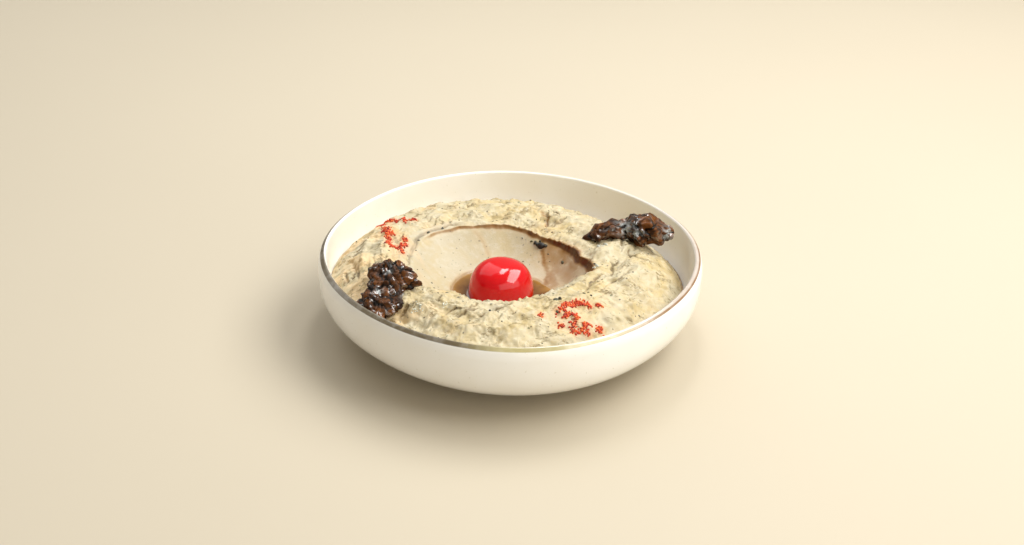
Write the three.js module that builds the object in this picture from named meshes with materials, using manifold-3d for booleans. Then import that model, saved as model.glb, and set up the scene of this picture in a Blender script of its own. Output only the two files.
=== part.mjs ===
// A low round stoneware bowl filled with a thick cream dip: a lumpy ring round a spooned well,
// with half a cherry tomato standing in a little oil, two glazed nut pieces and two paprika trails.
// Millimetres, +Z up. The origin is the middle of the bowl's box, on the surface it stands on.
// Angles are in degrees, counted from +X towards +Y. A drop is a distance below the rim's top.
import * as THREE from 'three';
import { mergeVertices } from 'three/addons/utils/BufferGeometryUtils.js';
import Module from 'manifold-3d';

const wasm = await Module();
wasm.setup();

// ---------------------------------------------------------------- driving dimensions
const GAP = 0.3; // clearance between neighbouring pieces

const BOWL = {
  height: 37.5,
  segments: 60,
  widestRadius: 83.2,
  widestDrop: 6,
  rimEdgeRadius: 82.1, // outer edge of the coloured bevel
  bevelWidth: 1.9,
  bevelSlope: 35, // degrees below the horizontal
  shoulderShare: 0.3, // of the way from the widest radius to the bevel's edge
  lipRound: 0.9,
  outerPower: 3.13, // superellipse exponent of the outer wall
  innerPower: 3,
  innerRadius: 79.6,
  innerTopDrop: 4.5, // where the inner wall starts to curve in
  floorDrop: 32,
  undersideHeight: 1.6,
  footOuterRadius: 48,
  footInnerRadius: 43.6,
  footEdge: 0.5,
  wallSteps: 8,
};

// The hand-thrown bowl is slightly out of round: shares of its radius.
const OUT_OF_ROUND = { sine3: 0.0054, cosine4: 0.0086, sine4: 0.0043 };

const DIP = {
  centre: [-4, -5], // middle of the well
  segments: 76,
  wellRings: 8,
  wellSpacing: 0.85, // below 1 the rings lie closer near the lip
  slopeRings: 15,
  underRings: 7,
  wallGap: 0.6, // at the dip's visible edge
  underGap: 0.8, // below it, along the wall and the floor
  underEnd: 0.97, // where the last ring under the dip lies, as a share of the wall's curve
  floorDrop: 19,
  floorForward: 9, // the well's lowest place lies this much nearer the front
  wellPower: 3.2,
  lipDrop: 4,
  lipRun: 1.2, // width of the little step under the lip
  crestShare: 0.3, // where the ring is highest, as a share of lip to wall
  fallPower: 2.1,
};

// Values round the well as [angle, millimetres].
const LIP_DISTANCE = [
  [17, 33.8], [50, 29.8], [92, 34.3], [147, 39.5], [187, 38.6], [213, 40],
  [233, 31.8], [262, 34], [289, 31.9], [322, 31.7], [341, 33.6], [352, 38.7],
];
const STEP_DEPTH = [
  [20, 2.8], [50, 2.2], [80, 1.6], [140, 1.4], [165, 0.5], [225, 0.5], [250, 1.4], [330, 1.6], [352, 3],
];
const CREST_DROP = [[0, 1.1], [45, 2.2], [90, 2.5], [130, 2.4], [180, 1.9], [225, 2], [270, 0.8], [315, 0.9]];
const CONTACT_DROP = [[0, 18], [45, 19], [90, 18], [130, 15.5], [180, 14.5], [225, 13.5], [270, 13], [315, 14]];

// A smooth ledge at the left reaches from the lip to this distance, where its strength isn't 0.
const LEDGE_DISTANCE = [[100, 39], [115, 42.5], [137, 45.2], [149, 47.4], [169, 45.7], [182, 46.2], [205, 45]];
const LEDGE_STRENGTH = [[95, 0], [120, 0.6], [137, 1], [165, 1], [185, 0.6], [205, 0]];

// Relief of the ring: waves of the given length and height, and single spoon strokes. The relief
// starts at a share of its height at the lip, rises outwards and fades at the wall.
const RELIEF = { atLip: 0.35, rise: 6, fade: 4, onLedge: 0.3, ledgeEdge: 1.6 };
const FOLDS = { length: 8.4, height: 1.2, level: 0.6, sway: 3.2, swayPhase: 0.6, drift: 5 };
const LUMPS = { lengthX: 19, lengthY: 17, height: 1, phaseX: 1, phaseY: 0.4 };
const CRAGS = { lengthX: 7.4, lengthY: 8.2, height: 0.5, skewX: 0.4, skewY: -0.3, phaseY: 2 };
const STROKES = [
  { from: [53, 6], to: [41, -17], width: 3, height: -2.6 }, // right crease
  { from: [60, -2], to: [48, -27], width: 3.4, height: 1.3 }, // right outer fold
  { from: [44, 9], to: [36, -6], width: 2.6, height: 1.2 }, // right inner fold
  { from: [34, -17], to: [56, -30], width: 3, height: 1.1 }, // cusp fold
  { from: [12, 45], to: [16, 31], width: 2.4, height: -1.7 }, // back notch
  { from: [20, 42], to: [37, 27], width: 2.8, height: 1.1 }, // back fold
  { from: [-48, -40], to: [-43, -52], width: 2, height: -1.4 }, // curl start
  { from: [-43, -52], to: [-35, -58], width: 2, height: -1.3 }, // curl end
  { from: [-30, -52], to: [18, -58], width: 3, height: -0.9 }, // front trough
  { from: [-34, -42], to: [24, -41], width: 3, height: 0.9 }, // front ridge
];

const TOMATO = {
  radius: 14.2, height: 17.2, at: [-3.9, -10], baseDrop: 18.8, power: 2.8, edge: 0.8, sides: 24, steps: 10,
};

const OIL = { levelDrop: 16.7, depth: 3, at: [-4, -11], radius: 27, sides: 48 };

// Each nut piece is swept along its spine; girth gives [share of length, half width, half height].
const WALNUTS = [
  {
    name: 'walnut_left',
    spine: [[-47.5, -18.5, 1.6], [-48.5, -30, 1.4], [-52.5, -43, -1.6], [-56, -57, -4.4]],
    girth: [[0, 8, 5], [0.3, 10, 6.2], [0.58, 7.6, 5], [0.82, 8.8, 5.2], [1, 6, 3.6]],
    turn: 0.4,
  },
  {
    name: 'walnut_right',
    spine: [[31.5, 14.5, -1.6], [44, 17.5, 0.8], [56, 18.5, 1.6], [73, 19.5, -0.2]],
    girth: [[0, 1.6, 1.6], [0.2, 4.6, 4.4], [0.45, 4.4, 4], [0.72, 7.4, 6.9], [1, 5.4, 5.6]],
    turn: 2.1,
  },
];
const NUT_CRAGS = {
  rings: 15, sides: 20, coarse: 9, fine: 4.6, coarseDepth: 0.24, fineDepth: 0.12, room: 0.45, endPower: 4,
};

const PAPRIKA = { sizes: [0.79, 1.42], flatness: 0.8, spread: 1.9, sink: 0.2 };
const PAPRIKA_TRAILS = [
  { from: [-61, 18], to: [-57, 27], bits: 4 },
  { from: [-57, 27], to: [-45, 31], bits: 8 },
  { from: [-57, 18], to: [-46, 1], bits: 11 },
  { from: [15.5, -50.5], to: [27, -45.5], bits: 5 },
  { from: [27, -45.5], to: [36, -47.5], bits: 5 },
  { from: [21, -54], to: [29, -53], bits: 6 },
  { from: [28, -53], to: [38.5, -60], bits: 8 },
];
const DARK_LUMP = { at: [15, 17.5], radius: 2.6, stretch: [1.4, 1, 0.8] };

// ---------------------------------------------------------------- small helpers
const RADIANS = Math.PI / 180;
const rimDrop = (drop) => BOWL.height - drop;

function mix(a, b, share) {
  return a + (b - a) * share;
}

// The direction of (x, y), from 0 up to 360.
function bearing(x, y) {
  return (Math.atan2(y, x) / RADIANS + 360) % 360;
}

// Smooth value at an angle between [angle, value] stops that go once round.
function around(stops, angle) {
  const next = Math.max(0, stops.findIndex((stop) => stop[0] > angle));
  const low = stops[(next + stops.length - 1) % stops.length];
  const high = stops[next];
  const span = (high[0] - low[0] + 360) % 360;
  const share = ((angle - low[0] + 360) % 360) / span;
  return mix(low[1], high[1], (1 - Math.cos(Math.PI * share)) / 2);
}

function roundness(angle) {
  const a = angle * RADIANS;
  return 1 + OUT_OF_ROUND.sine3 * Math.sin(3 * a)
    + OUT_OF_ROUND.cosine4 * Math.cos(4 * a) + OUT_OF_ROUND.sine4 * Math.sin(4 * a);
}

// A repeatable number from 0 to 1 for each pair of whole numbers.
function scatter(index, salt) {
  const value = Math.sin(index * 12.9898 + salt * 78.233) * 43758.5453;
  return value - Math.floor(value);
}

// ---------------------------------------------------------------- geometry and solids
function weld(geometry) {
  const bare = geometry.clone();
  bare.deleteAttribute('normal');
  bare.deleteAttribute('uv');
  return mergeVertices(bare, 1e-4);
}

function solidOf(geometry) {
  const merged = weld(geometry);
  const corners = Array.from(merged.index.array);
  const kept = [];
  for (let i = 0; i < corners.length; i += 3) {
    const [a, b, c] = corners.slice(i, i + 3);
    if (a !== b && b !== c && c !== a) kept.push(a, b, c);
  }
  return new wasm.Manifold(new wasm.Mesh({
    numProp: 3,
    vertProperties: new Float32Array(merged.attributes.position.array),
    triVerts: new Uint32Array(kept),
  }));
}

function geometryOf(solid) {
  const mesh = solid.getMesh();
  const geometry = new THREE.BufferGeometry();
  geometry.setAttribute('position', new THREE.BufferAttribute(mesh.vertProperties, 3));
  geometry.setIndex(new THREE.BufferAttribute(mesh.triVerts, 1));
  return geometry;
}

// A closed skin over rings of equal length, with a single point at each end.
function skinOverRings(startPoint, rings, endPoint) {
  const count = rings[0].length;
  const points = [startPoint, ...rings.flat(), endPoint];
  const faces = [];
  const at = (ring, i) => 1 + ring * count + (i % count);
  for (let i = 0; i < count; i += 1) {
    faces.push(0, at(0, i), at(0, i + 1));
    for (let ring = 0; ring + 1 < rings.length; ring += 1) {
      faces.push(at(ring, i), at(ring + 1, i), at(ring + 1, i + 1));
      faces.push(at(ring, i), at(ring + 1, i + 1), at(ring, i + 1));
    }
    faces.push(at(rings.length - 1, i), points.length - 1, at(rings.length - 1, i + 1));
  }
  const geometry = new THREE.BufferGeometry();
  geometry.setAttribute('position', new THREE.Float32BufferAttribute(points.flat(), 3));
  geometry.setIndex(faces);
  return geometry;
}

// A turned body: the profile is a list of [radius, height] from the bottom to the top.
function turned(profile, segments) {
  const points = profile.map(([radius, height]) => new THREE.Vector2(radius, height));
  return new THREE.LatheGeometry(points, segments).rotateX(Math.PI / 2);
}

// ---------------------------------------------------------------- the bowl
// Radius and drop of the inner wall; share 0 is the top of its curve, 1 the middle of the floor.
function innerWall(share) {
  const angle = share * Math.PI / 2;
  const power = 2 / BOWL.innerPower;
  return {
    radius: BOWL.innerRadius * Math.cos(angle) ** power,
    drop: BOWL.innerTopDrop + (BOWL.floorDrop - BOWL.innerTopDrop) * Math.sin(angle) ** power,
  };
}

function innerShareAtDrop(drop) {
  const depth = (drop - BOWL.innerTopDrop) / (BOWL.floorDrop - BOWL.innerTopDrop);
  return Math.asin(Math.max(0, depth) ** (BOWL.innerPower / 2)) / (Math.PI / 2);
}

function outerWallPoint(angle) {
  const power = 2 / BOWL.outerPower;
  const widestHeight = rimDrop(BOWL.widestDrop);
  const radius = BOWL.widestRadius * Math.cos(angle) ** power;
  const height = widestHeight - (widestHeight - BOWL.undersideHeight) * Math.sin(angle) ** power;
  return [radius, height];
}

function bowlProfile() {
  const { footInnerRadius, footOuterRadius, footEdge, wallSteps, undersideHeight } = BOWL;
  const profile = [
    [0, undersideHeight],
    [footInnerRadius, undersideHeight],
    [footInnerRadius + footEdge, 0],
    [footOuterRadius - footEdge, 0],
    [footOuterRadius, footEdge],
  ];
  const footAngle = Math.acos((footOuterRadius / BOWL.widestRadius) ** (BOWL.outerPower / 2));
  for (let step = 0; step <= wallSteps; step += 1) {
    profile.push(outerWallPoint(footAngle * (1 - step / wallSteps)));
  }
  const bevelDrop = BOWL.bevelWidth * Math.sin(BOWL.bevelSlope * RADIANS);
  const bevelRun = BOWL.bevelWidth * Math.cos(BOWL.bevelSlope * RADIANS);
  const shoulder = (BOWL.widestDrop + bevelDrop) / 2;
  profile.push([mix(BOWL.widestRadius, BOWL.rimEdgeRadius, BOWL.shoulderShare), rimDrop(shoulder)]);
  profile.push([BOWL.rimEdgeRadius, rimDrop(bevelDrop)]);
  profile.push([BOWL.rimEdgeRadius - bevelRun, BOWL.height]);
  for (const angle of [30, 60, 90]) {
    const reach = BOWL.rimEdgeRadius - bevelRun - BOWL.innerRadius;
    const radius = BOWL.innerRadius + reach * (1 - Math.sin(angle * RADIANS));
    profile.push([radius, rimDrop(BOWL.lipRound * (1 - Math.cos(angle * RADIANS)))]);
  }
  for (let step = 0; step <= wallSteps + 2; step += 1) {
    const { radius, drop } = innerWall(step / (wallSteps + 2));
    profile.push([step === wallSteps + 2 ? 0 : radius, rimDrop(drop)]);
  }
  return profile;
}

function makeBowl() {
  const geometry = weld(turned(bowlProfile(), BOWL.segments));
  const spots = geometry.attributes.position;
  for (let i = 0; i < spots.count; i += 1) {
    const factor = roundness(bearing(spots.getX(i), spots.getY(i)));
    spots.setXY(i, spots.getX(i) * factor, spots.getY(i) * factor);
  }
  return solidOf(geometry);
}

// ---------------------------------------------------------------- the dip
function wellPoint(angle, distance) {
  const a = angle * RADIANS;
  return [DIP.centre[0] + distance * Math.cos(a), DIP.centre[1] + distance * Math.sin(a)];
}

// How far the bowl's wall is from the well's middle, at the height where the dip meets it.
function wallDistance(angle) {
  const { radius } = innerWall(innerShareAtDrop(around(CONTACT_DROP, angle)));
  let distance = radius;
  for (let pass = 0; pass < 6; pass += 1) {
    const [x, y] = wellPoint(angle, distance);
    const wall = radius * roundness(bearing(x, y)) - DIP.wallGap;
    distance += wall - Math.hypot(x, y);
  }
  return distance;
}

function strokeHeight(stroke, x, y) {
  const [ax, ay] = stroke.from;
  const [bx, by] = stroke.to;
  const length = Math.hypot(bx - ax, by - ay);
  const along = ((x - ax) * (bx - ax) + (y - ay) * (by - ay)) / length ** 2;
  const nearest = Math.min(1, Math.max(0, along));
  const away = Math.hypot(x - mix(ax, bx, nearest), y - mix(ay, by, nearest));
  return stroke.height * Math.exp(-((away / stroke.width) ** 2));
}

// Folds, lumps, crags and strokes on the ring; fromLip is the distance outwards from the lip.
function ringRelief(x, y, angle, fromLip) {
  const sway = FOLDS.sway * Math.sin(2 * angle * RADIANS + FOLDS.swayPhase) + FOLDS.drift * angle / 360;
  const closing = Math.sin(angle * RADIANS / 2) ** 0.5;
  const wave = Math.abs(Math.sin(Math.PI * (fromLip + sway) / FOLDS.length));
  const folds = FOLDS.height * (FOLDS.level - wave) * closing;
  const lumps = LUMPS.height * Math.sin(2 * Math.PI * x / LUMPS.lengthX + LUMPS.phaseX)
    * Math.sin(2 * Math.PI * y / LUMPS.lengthY + LUMPS.phaseY);
  const crags = CRAGS.height * Math.sin(2 * Math.PI * (x + CRAGS.skewX * y) / CRAGS.lengthX)
    * Math.sin(2 * Math.PI * (y + CRAGS.skewY * x) / CRAGS.lengthY + CRAGS.phaseY);
  const strokes = STROKES.reduce((sum, stroke) => sum + strokeHeight(stroke, x, y), 0);
  return folds + lumps + crags + strokes;
}

function wellHeight(angle, distance) {
  const a = angle * RADIANS;
  const edge = around(LIP_DISTANCE, angle);
  const forward = DIP.floorForward * (1 - distance / edge);
  const share = Math.hypot(distance * Math.cos(a), distance * Math.sin(a) + forward) / edge;
  const edgeDrop = DIP.lipDrop + around(STEP_DEPTH, angle);
  return rimDrop(mix(DIP.floorDrop, edgeDrop, Math.min(1, share) ** DIP.wellPower));
}

// 1 on the smooth ledge, 0 elsewhere.
function onLedge(angle, distance) {
  const inwards = (around(LEDGE_DISTANCE, angle) - distance) / RELIEF.ledgeEdge;
  return around(LEDGE_STRENGTH, angle) * Math.min(1, Math.max(0, inwards));
}

function ringHeight(angle, distance) {
  const lip = around(LIP_DISTANCE, angle) + DIP.lipRun;
  const share = Math.min(1, Math.max(0, (distance - lip) / (wallDistance(angle) - lip)));
  const crest = around(CREST_DROP, angle);
  const [x, y] = wellPoint(angle, distance);
  const rising = Math.sin(Math.PI / 2 * Math.min(1, share / DIP.crestShare));
  const falling = Math.max(0, (share - DIP.crestShare) / (1 - DIP.crestShare)) ** DIP.fallPower;
  const drop = share < DIP.crestShare
    ? mix(DIP.lipDrop, crest, rising)
    : mix(crest, around(CONTACT_DROP, angle), falling);
  const reach = Math.min(1, RELIEF.atLip + share * RELIEF.rise, (1 - share) * RELIEF.fade);
  const roughness = mix(1, RELIEF.onLedge, onLedge(angle, distance));
  return rimDrop(drop) + ringRelief(x, y, angle, distance - lip) * reach * roughness;
}

// Height of the dip's top at a distance and angle from the well's middle.
function dipHeight(angle, distance) {
  const edge = around(LIP_DISTANCE, angle);
  if (distance <= edge) return wellHeight(angle, distance);
  const lipHeight = ringHeight(angle, edge + DIP.lipRun);
  if (distance >= edge + DIP.lipRun) return ringHeight(angle, distance);
  return mix(wellHeight(angle, edge), lipHeight, (distance - edge) / DIP.lipRun);
}

function dipHeightAt(x, y) {
  const [cx, cy] = DIP.centre;
  return dipHeight(bearing(x - cx, y - cy), Math.hypot(x - cx, y - cy));
}

function makeDip() {
  const angles = Array.from({ length: DIP.segments }, (_, i) => 360 * i / DIP.segments);
  const distances = [];
  for (let ring = 1; ring <= DIP.wellRings; ring += 1) {
    const share = (ring / DIP.wellRings) ** DIP.wellSpacing;
    distances.push((angle) => around(LIP_DISTANCE, angle) * share);
  }
  for (let ring = 0; ring <= DIP.slopeRings; ring += 1) {
    const lip = (angle) => around(LIP_DISTANCE, angle) + DIP.lipRun;
    distances.push((angle) => mix(lip(angle), wallDistance(angle), ring / DIP.slopeRings));
  }
  const top = distances.map((distanceAt) => angles.map((angle) => {
    const distance = distanceAt(angle);
    return [...wellPoint(angle, distance), dipHeight(angle, distance)];
  }));
  const under = [];
  for (let ring = 1; ring <= DIP.underRings; ring += 1) {
    under.push(angles.map((angle) => {
      const [x, y] = wellPoint(angle, wallDistance(angle));
      const start = innerShareAtDrop(around(CONTACT_DROP, angle));
      const { radius, drop } = innerWall(mix(start, DIP.underEnd, ring / DIP.underRings));
      const shrink = (radius * roundness(bearing(x, y)) - DIP.underGap) / Math.hypot(x, y);
      return [x * shrink, y * shrink, rimDrop(drop) + DIP.underGap];
    }));
  }
  const middle = [...DIP.centre, dipHeight(0, 0)];
  const below = [0, 0, rimDrop(BOWL.floorDrop) + DIP.underGap];
  return solidOf(skinOverRings(middle, [...top, ...under], below));
}

// ---------------------------------------------------------------- what lies on the dip
function paprikaBits() {
  const bits = [];
  PAPRIKA_TRAILS.forEach((trail, row) => {
    for (let i = 0; i < trail.bits; i += 1) {
      const share = (i + 0.5) / trail.bits;
      const aside = (salt) => PAPRIKA.spread * (2 * scatter(i, row + salt) - 1);
      const x = mix(trail.from[0], trail.to[0], share) + aside(0.1);
      const y = mix(trail.from[1], trail.to[1], share) + aside(0.6);
      const size = mix(PAPRIKA.sizes[0], PAPRIKA.sizes[1], scatter(i, row + 0.3));
      const bit = new THREE.IcosahedronGeometry(size, 0);
      bit.rotateX(3 * scatter(i, row)).rotateZ(3 * scatter(row, i)).scale(1, 1, PAPRIKA.flatness);
      bits.push(solidOf(bit.translate(x, y, dipHeightAt(x, y) - PAPRIKA.sink)));
    }
  });
  return bits;
}

function makeDarkLump() {
  const [x, y] = DARK_LUMP.at;
  const lump = new THREE.IcosahedronGeometry(DARK_LUMP.radius, 1).scale(...DARK_LUMP.stretch);
  return solidOf(lump.translate(x, y, dipHeightAt(x, y)));
}

function makeTomato(grow) {
  const { radius, height, power, edge, at, baseDrop, sides, steps } = TOMATO;
  const profile = [[0, -grow], [radius - edge + grow, -grow], [radius + grow, edge]];
  for (let step = 1; step < steps; step += 1) {
    const angle = step / steps * Math.PI / 2;
    const across = (radius + grow) * Math.cos(angle) ** (2 / power);
    const up = edge + (height - edge + grow) * Math.sin(angle) ** (2 / power);
    profile.push([across, up]);
  }
  profile.push([0, height + grow]);
  return solidOf(turned(profile, sides).translate(at[0], at[1], rimDrop(baseDrop)));
}

function crag(x, y, z, turn) {
  const fold = (value) => 1 - 2 * Math.abs(Math.sin(value));
  const coarse = fold(Math.PI * (x + 0.5 * z) / NUT_CRAGS.coarse + turn)
    + fold(Math.PI * (y - 0.6 * z) / NUT_CRAGS.coarse + 2 * turn);
  const fine = fold(Math.PI * (z + 0.7 * x) / NUT_CRAGS.fine + turn)
    * fold(Math.PI * (y - 0.4 * x) / NUT_CRAGS.fine);
  return 1 + NUT_CRAGS.coarseDepth * coarse / 2 + NUT_CRAGS.fineDepth * fine;
}

// Moves a point that would be in the bowl's wall back to just inside it.
function insideWall(point) {
  const depth = (rimDrop(BOWL.innerTopDrop) - point.z) / (BOWL.floorDrop - BOWL.innerTopDrop);
  const radius = BOWL.innerRadius * (1 - Math.max(0, depth) ** BOWL.innerPower) ** (1 / BOWL.innerPower);
  const limit = radius * roundness(bearing(point.x, point.y)) - 2 * GAP;
  const shrink = Math.min(1, limit / Math.hypot(point.x, point.y));
  return new THREE.Vector3(point.x * shrink, point.y * shrink, point.z);
}

function girthAt(girth, share) {
  const next = Math.max(1, girth.findIndex((stop) => stop[0] >= share));
  const [low, high] = [girth[next - 1], girth[next]];
  const part = (1 - Math.cos(Math.PI * (share - low[0]) / (high[0] - low[0]))) / 2;
  return [mix(low[1], high[1], part), mix(low[2], high[2], part)];
}

function makeWalnut({ spine, girth, turn }, grow) {
  const { rings: ringCount, sides } = NUT_CRAGS;
  const curve = new THREE.CatmullRomCurve3(spine.map(([x, y, z]) => new THREE.Vector3(x, y, rimDrop(-z))));
  const forward = curve.getPoint(1).sub(curve.getPoint(0)).normalize();
  const across = new THREE.Vector3(0, 0, 1).cross(forward).normalize();
  const up = forward.clone().cross(across);
  const rings = [];
  for (let ring = 1; ring < ringCount; ring += 1) {
    const share = (1 - Math.cos(Math.PI * ring / ringCount)) / 2;
    const [halfWidth, halfHeight] = girthAt(girth, share);
    const closing = Math.sqrt(1 - (2 * share - 1) ** NUT_CRAGS.endPower);
    const middle = curve.getPoint(share);
    rings.push(Array.from({ length: sides }, (_, side) => {
      const angle = -side / sides * 2 * Math.PI;
      const reach = across.clone().multiplyScalar(halfWidth * Math.cos(angle) * closing)
        .addScaledVector(up, halfHeight * Math.sin(angle) * closing);
      const spot = middle.clone().add(reach);
      const out = reach.clone().normalize();
      reach.multiplyScalar(crag(spot.x, spot.y, spot.z, turn)).addScaledVector(out, grow);
      const surface = middle.clone().add(reach);
      return (grow ? surface : insideWall(surface)).toArray();
    }));
  }
  const first = curve.getPoint(0).addScaledVector(forward, -grow);
  const end = curve.getPoint(1);
  const last = grow ? end.addScaledVector(forward, grow) : insideWall(end);
  return solidOf(skinOverRings(first.toArray(), rings, last.toArray()));
}

function makeOil(dip, tomatoRoom) {
  const profile = [[0, -OIL.depth], [OIL.radius, -OIL.depth], [OIL.radius, 0], [0, 0]];
  const disc = turned(profile, OIL.sides).translate(OIL.at[0], OIL.at[1], rimDrop(OIL.levelDrop));
  return solidOf(disc).subtract(dip.translate([0, 0, GAP])).subtract(tomatoRoom);
}

// ---------------------------------------------------------------- materials and assembly
const MATERIALS = {
  glaze: { color: 0xf4efe4, roughness: 0.25, metalness: 0 },
  dip: { color: 0xe0cd9f, roughness: 0.75, metalness: 0 },
  tomato: { color: 0xc4161c, roughness: 0.18, metalness: 0 },
  walnut: { color: 0x4a3220, roughness: 0.3, metalness: 0 },
  oil: { color: 0x9a7233, roughness: 0.12, metalness: 0 },
};

const dish = new THREE.Group();
dish.position.y = OUT_OF_ROUND.sine3 * BOWL.widestRadius;

function addPiece(name, solid, look) {
  const mesh = new THREE.Mesh(geometryOf(solid), new THREE.MeshStandardMaterial(MATERIALS[look]));
  mesh.name = name;
  dish.add(mesh);
}

const plainDip = makeDip();
const tomatoRoom = makeTomato(GAP);
const oil = makeOil(plainDip, tomatoRoom);
let dip = plainDip.subtract(tomatoRoom);
for (const nut of WALNUTS) dip = dip.subtract(makeWalnut(nut, NUT_CRAGS.room));
for (const bit of paprikaBits()) dip = dip.add(bit);
dip = dip.add(makeDarkLump());

addPiece('bowl', makeBowl(), 'glaze');
addPiece('dip', dip, 'dip');
addPiece('tomato', makeTomato(0), 'tomato');
addPiece('oil_pool', oil, 'oil');
for (const nut of WALNUTS) addPiece(nut.name, makeWalnut(nut, 0), 'walnut');

const group = new THREE.Group();
group.add(dish);

export default group;
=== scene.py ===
"""A low bowl of thick cream dip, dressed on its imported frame.

The dip is a lumpy ring round a spooned well. Half a cherry tomato stands in the well in a little
oil, two glazed walnut pieces and two paprika trails lie on the ring, and dark herb bits are
stirred through it. Shapes are worked out in millimetres from the middle of the rim outwards,
with heights above the surface that the bowl stands on, and are written to the meshes in metres.
Angles are in degrees from +X towards +Y, and a drop is a distance below the rim's top.
"""
import random
from bisect import bisect_right
from math import acos, asin, atan2, cos, degrees, dist, exp, hypot, pi, radians, sin, sqrt
from types import SimpleNamespace as Sizes

import bmesh
import bpy
from mathutils import Matrix, Vector, noise


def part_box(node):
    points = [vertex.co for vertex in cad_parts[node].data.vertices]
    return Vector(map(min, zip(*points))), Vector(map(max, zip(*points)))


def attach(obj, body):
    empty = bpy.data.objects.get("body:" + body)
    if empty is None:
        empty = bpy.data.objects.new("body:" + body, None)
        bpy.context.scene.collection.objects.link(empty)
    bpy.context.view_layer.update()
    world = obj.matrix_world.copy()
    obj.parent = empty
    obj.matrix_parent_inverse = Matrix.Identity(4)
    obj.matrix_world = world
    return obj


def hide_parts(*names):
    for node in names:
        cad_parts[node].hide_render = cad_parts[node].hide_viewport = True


bl_info = {
    "name": "Dip Bowl Maker",
    "version": (1, 0, 0),
    "blender": (4, 5, 0),
    "location": "3D View > Sidebar > Dip Bowl",
    "description": "Makes a stoneware bowl of dip with its tomato, walnuts, oil and paprika",
    "category": "Add Mesh",
}

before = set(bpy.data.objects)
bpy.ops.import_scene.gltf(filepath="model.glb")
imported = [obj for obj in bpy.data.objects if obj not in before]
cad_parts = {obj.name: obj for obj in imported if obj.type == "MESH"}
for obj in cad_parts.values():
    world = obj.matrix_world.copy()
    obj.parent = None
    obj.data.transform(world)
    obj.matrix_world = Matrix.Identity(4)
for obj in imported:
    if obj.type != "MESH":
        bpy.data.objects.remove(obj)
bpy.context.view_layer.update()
MM = 0.001

# ---- shapes shared with the solids
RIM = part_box("bowl")[1][2] / MM  # height of the rim's top
WIDEST = 83.2
OUT_OF_ROUND = Sizes(sine3=0.0054, cosine4=0.0086, sine4=0.0043)
DISH_SHIFT = OUT_OF_ROUND.sine3 * WIDEST  # brings the middle of the bowl's box to the origin

OUTER_WALL = Sizes(radius=WIDEST, top_drop=6, foot_drop=RIM - 1.6, power=3.13)
INNER_WALL = Sizes(radius=79.6, top_drop=4.5, floor_drop=32, power=3)
RIM_EDGE_RADIUS = 82.1
BEVEL_SLOPE = 35
LIP_ROUND = 0.9
FOOT = Sizes(outer=48, inner=43.6, edge=0.5, recess=1.6)
# The brown line on the bevel, round the bowl: its middle and half its width as shares of the bevel,
# and the tint of the rest of the bevel.
LINE_MIDDLE = ((0, 0.2), (60, 0.35), (120, 0.5), (262, 0.5), (300, 0.32), (335, 0.2))
LINE_HALF_WIDTH = (
    (0, 0.24), (60, 0.18), (120, 0.2), (172, 0.38), (200, 0.6), (262, 0.6), (300, 0.3), (335, 0.22),
)
LINE_TINT = ((0, 0.55), (60, 0.25), (120, 0), (250, 0), (285, 0.5), (335, 0.6))

# Within middle_reach of its middle the well takes one width in all directions, so that they meet.
WELL = Sizes(x=-4, y=-5, floor_drop=19, forward=9, power=3.2, middle_width=34, middle_reach=8)
LIP = Sizes(drop=4, run=1.2)
RING = Sizes(crest_share=0.3, fall_power=2.1)
# Round the well: how far out the lip is and how deep the step under it, how low the ring's crest
# lies, and where the paste meets the bowl.
LIP_DISTANCE = (
    (17, 33.8), (50, 29.8), (92, 34.3), (147, 39.5), (187, 38.6), (213, 40),
    (233, 31.8), (262, 34), (289, 31.9), (322, 31.7), (341, 33.6), (352, 38.7),
)
STEP_DEPTH = (
    (20, 2.8), (50, 2.2), (80, 1.6), (140, 1.4), (165, 0.5), (225, 0.5), (250, 1.4), (330, 1.6),
    (352, 3),
)
CREST_DROP = (
    (0, 1.1), (45, 2.2), (90, 2.5), (130, 2.4), (180, 1.9), (225, 2), (270, 0.8), (315, 0.9),
)
CONTACT_DROP = (
    (0, 18), (45, 19), (90, 18), (130, 15.5), (180, 14.5), (225, 13.5), (270, 13), (315, 14),
)
FOLDS = Sizes(length=8.4, height=1.2, level=0.6, sway=3.2, drift=5)
LUMPS = Sizes(length_x=19, length_y=17, height=1)
CRAGS = Sizes(length_x=7.4, length_y=8.2, height=0.3)
WALL_GAP = 0.25  # between the paste and the bowl where they meet
UNDER_GAP = 0.5  # and below that
# Spoon strokes: from, to, width and height.
STROKES = (
    ((53, 6), (41, -17), 3, -2.6),
    ((60, -2), (48, -27), 3.4, 1.3),
    ((44, 9), (36, -6), 2.6, 1.2),
    ((34, -17), (56, -30), 3, 1.1),
    ((12, 45), (16, 31), 2.4, -1.7),
    ((20, 42), (37, 27), 2.8, 1.1),
    ((-48, -40), (-43, -52), 2, -1.4),
    ((-43, -52), (-35, -58), 2, -1.3),
    ((-30, -52), (18, -58), 3, -0.9),
    ((-34, -42), (24, -41), 3, 0.9),
)

TOMATO = Sizes(radius=14.2, height=17.2, x=-3.9, y=-10, drop=18.8, power=2.8)
OIL_LEVEL = RIM - 16.7
# The pool rises against the tomato, from a little inside its skin, and is thinner at its shore.
OIL = Sizes(
    inset=0.25, rise=0.35, fall=14, thin=0.25, depth=1.2, shore_depth=0.55, nearest=8, past_shore=0.35,
)
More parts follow.
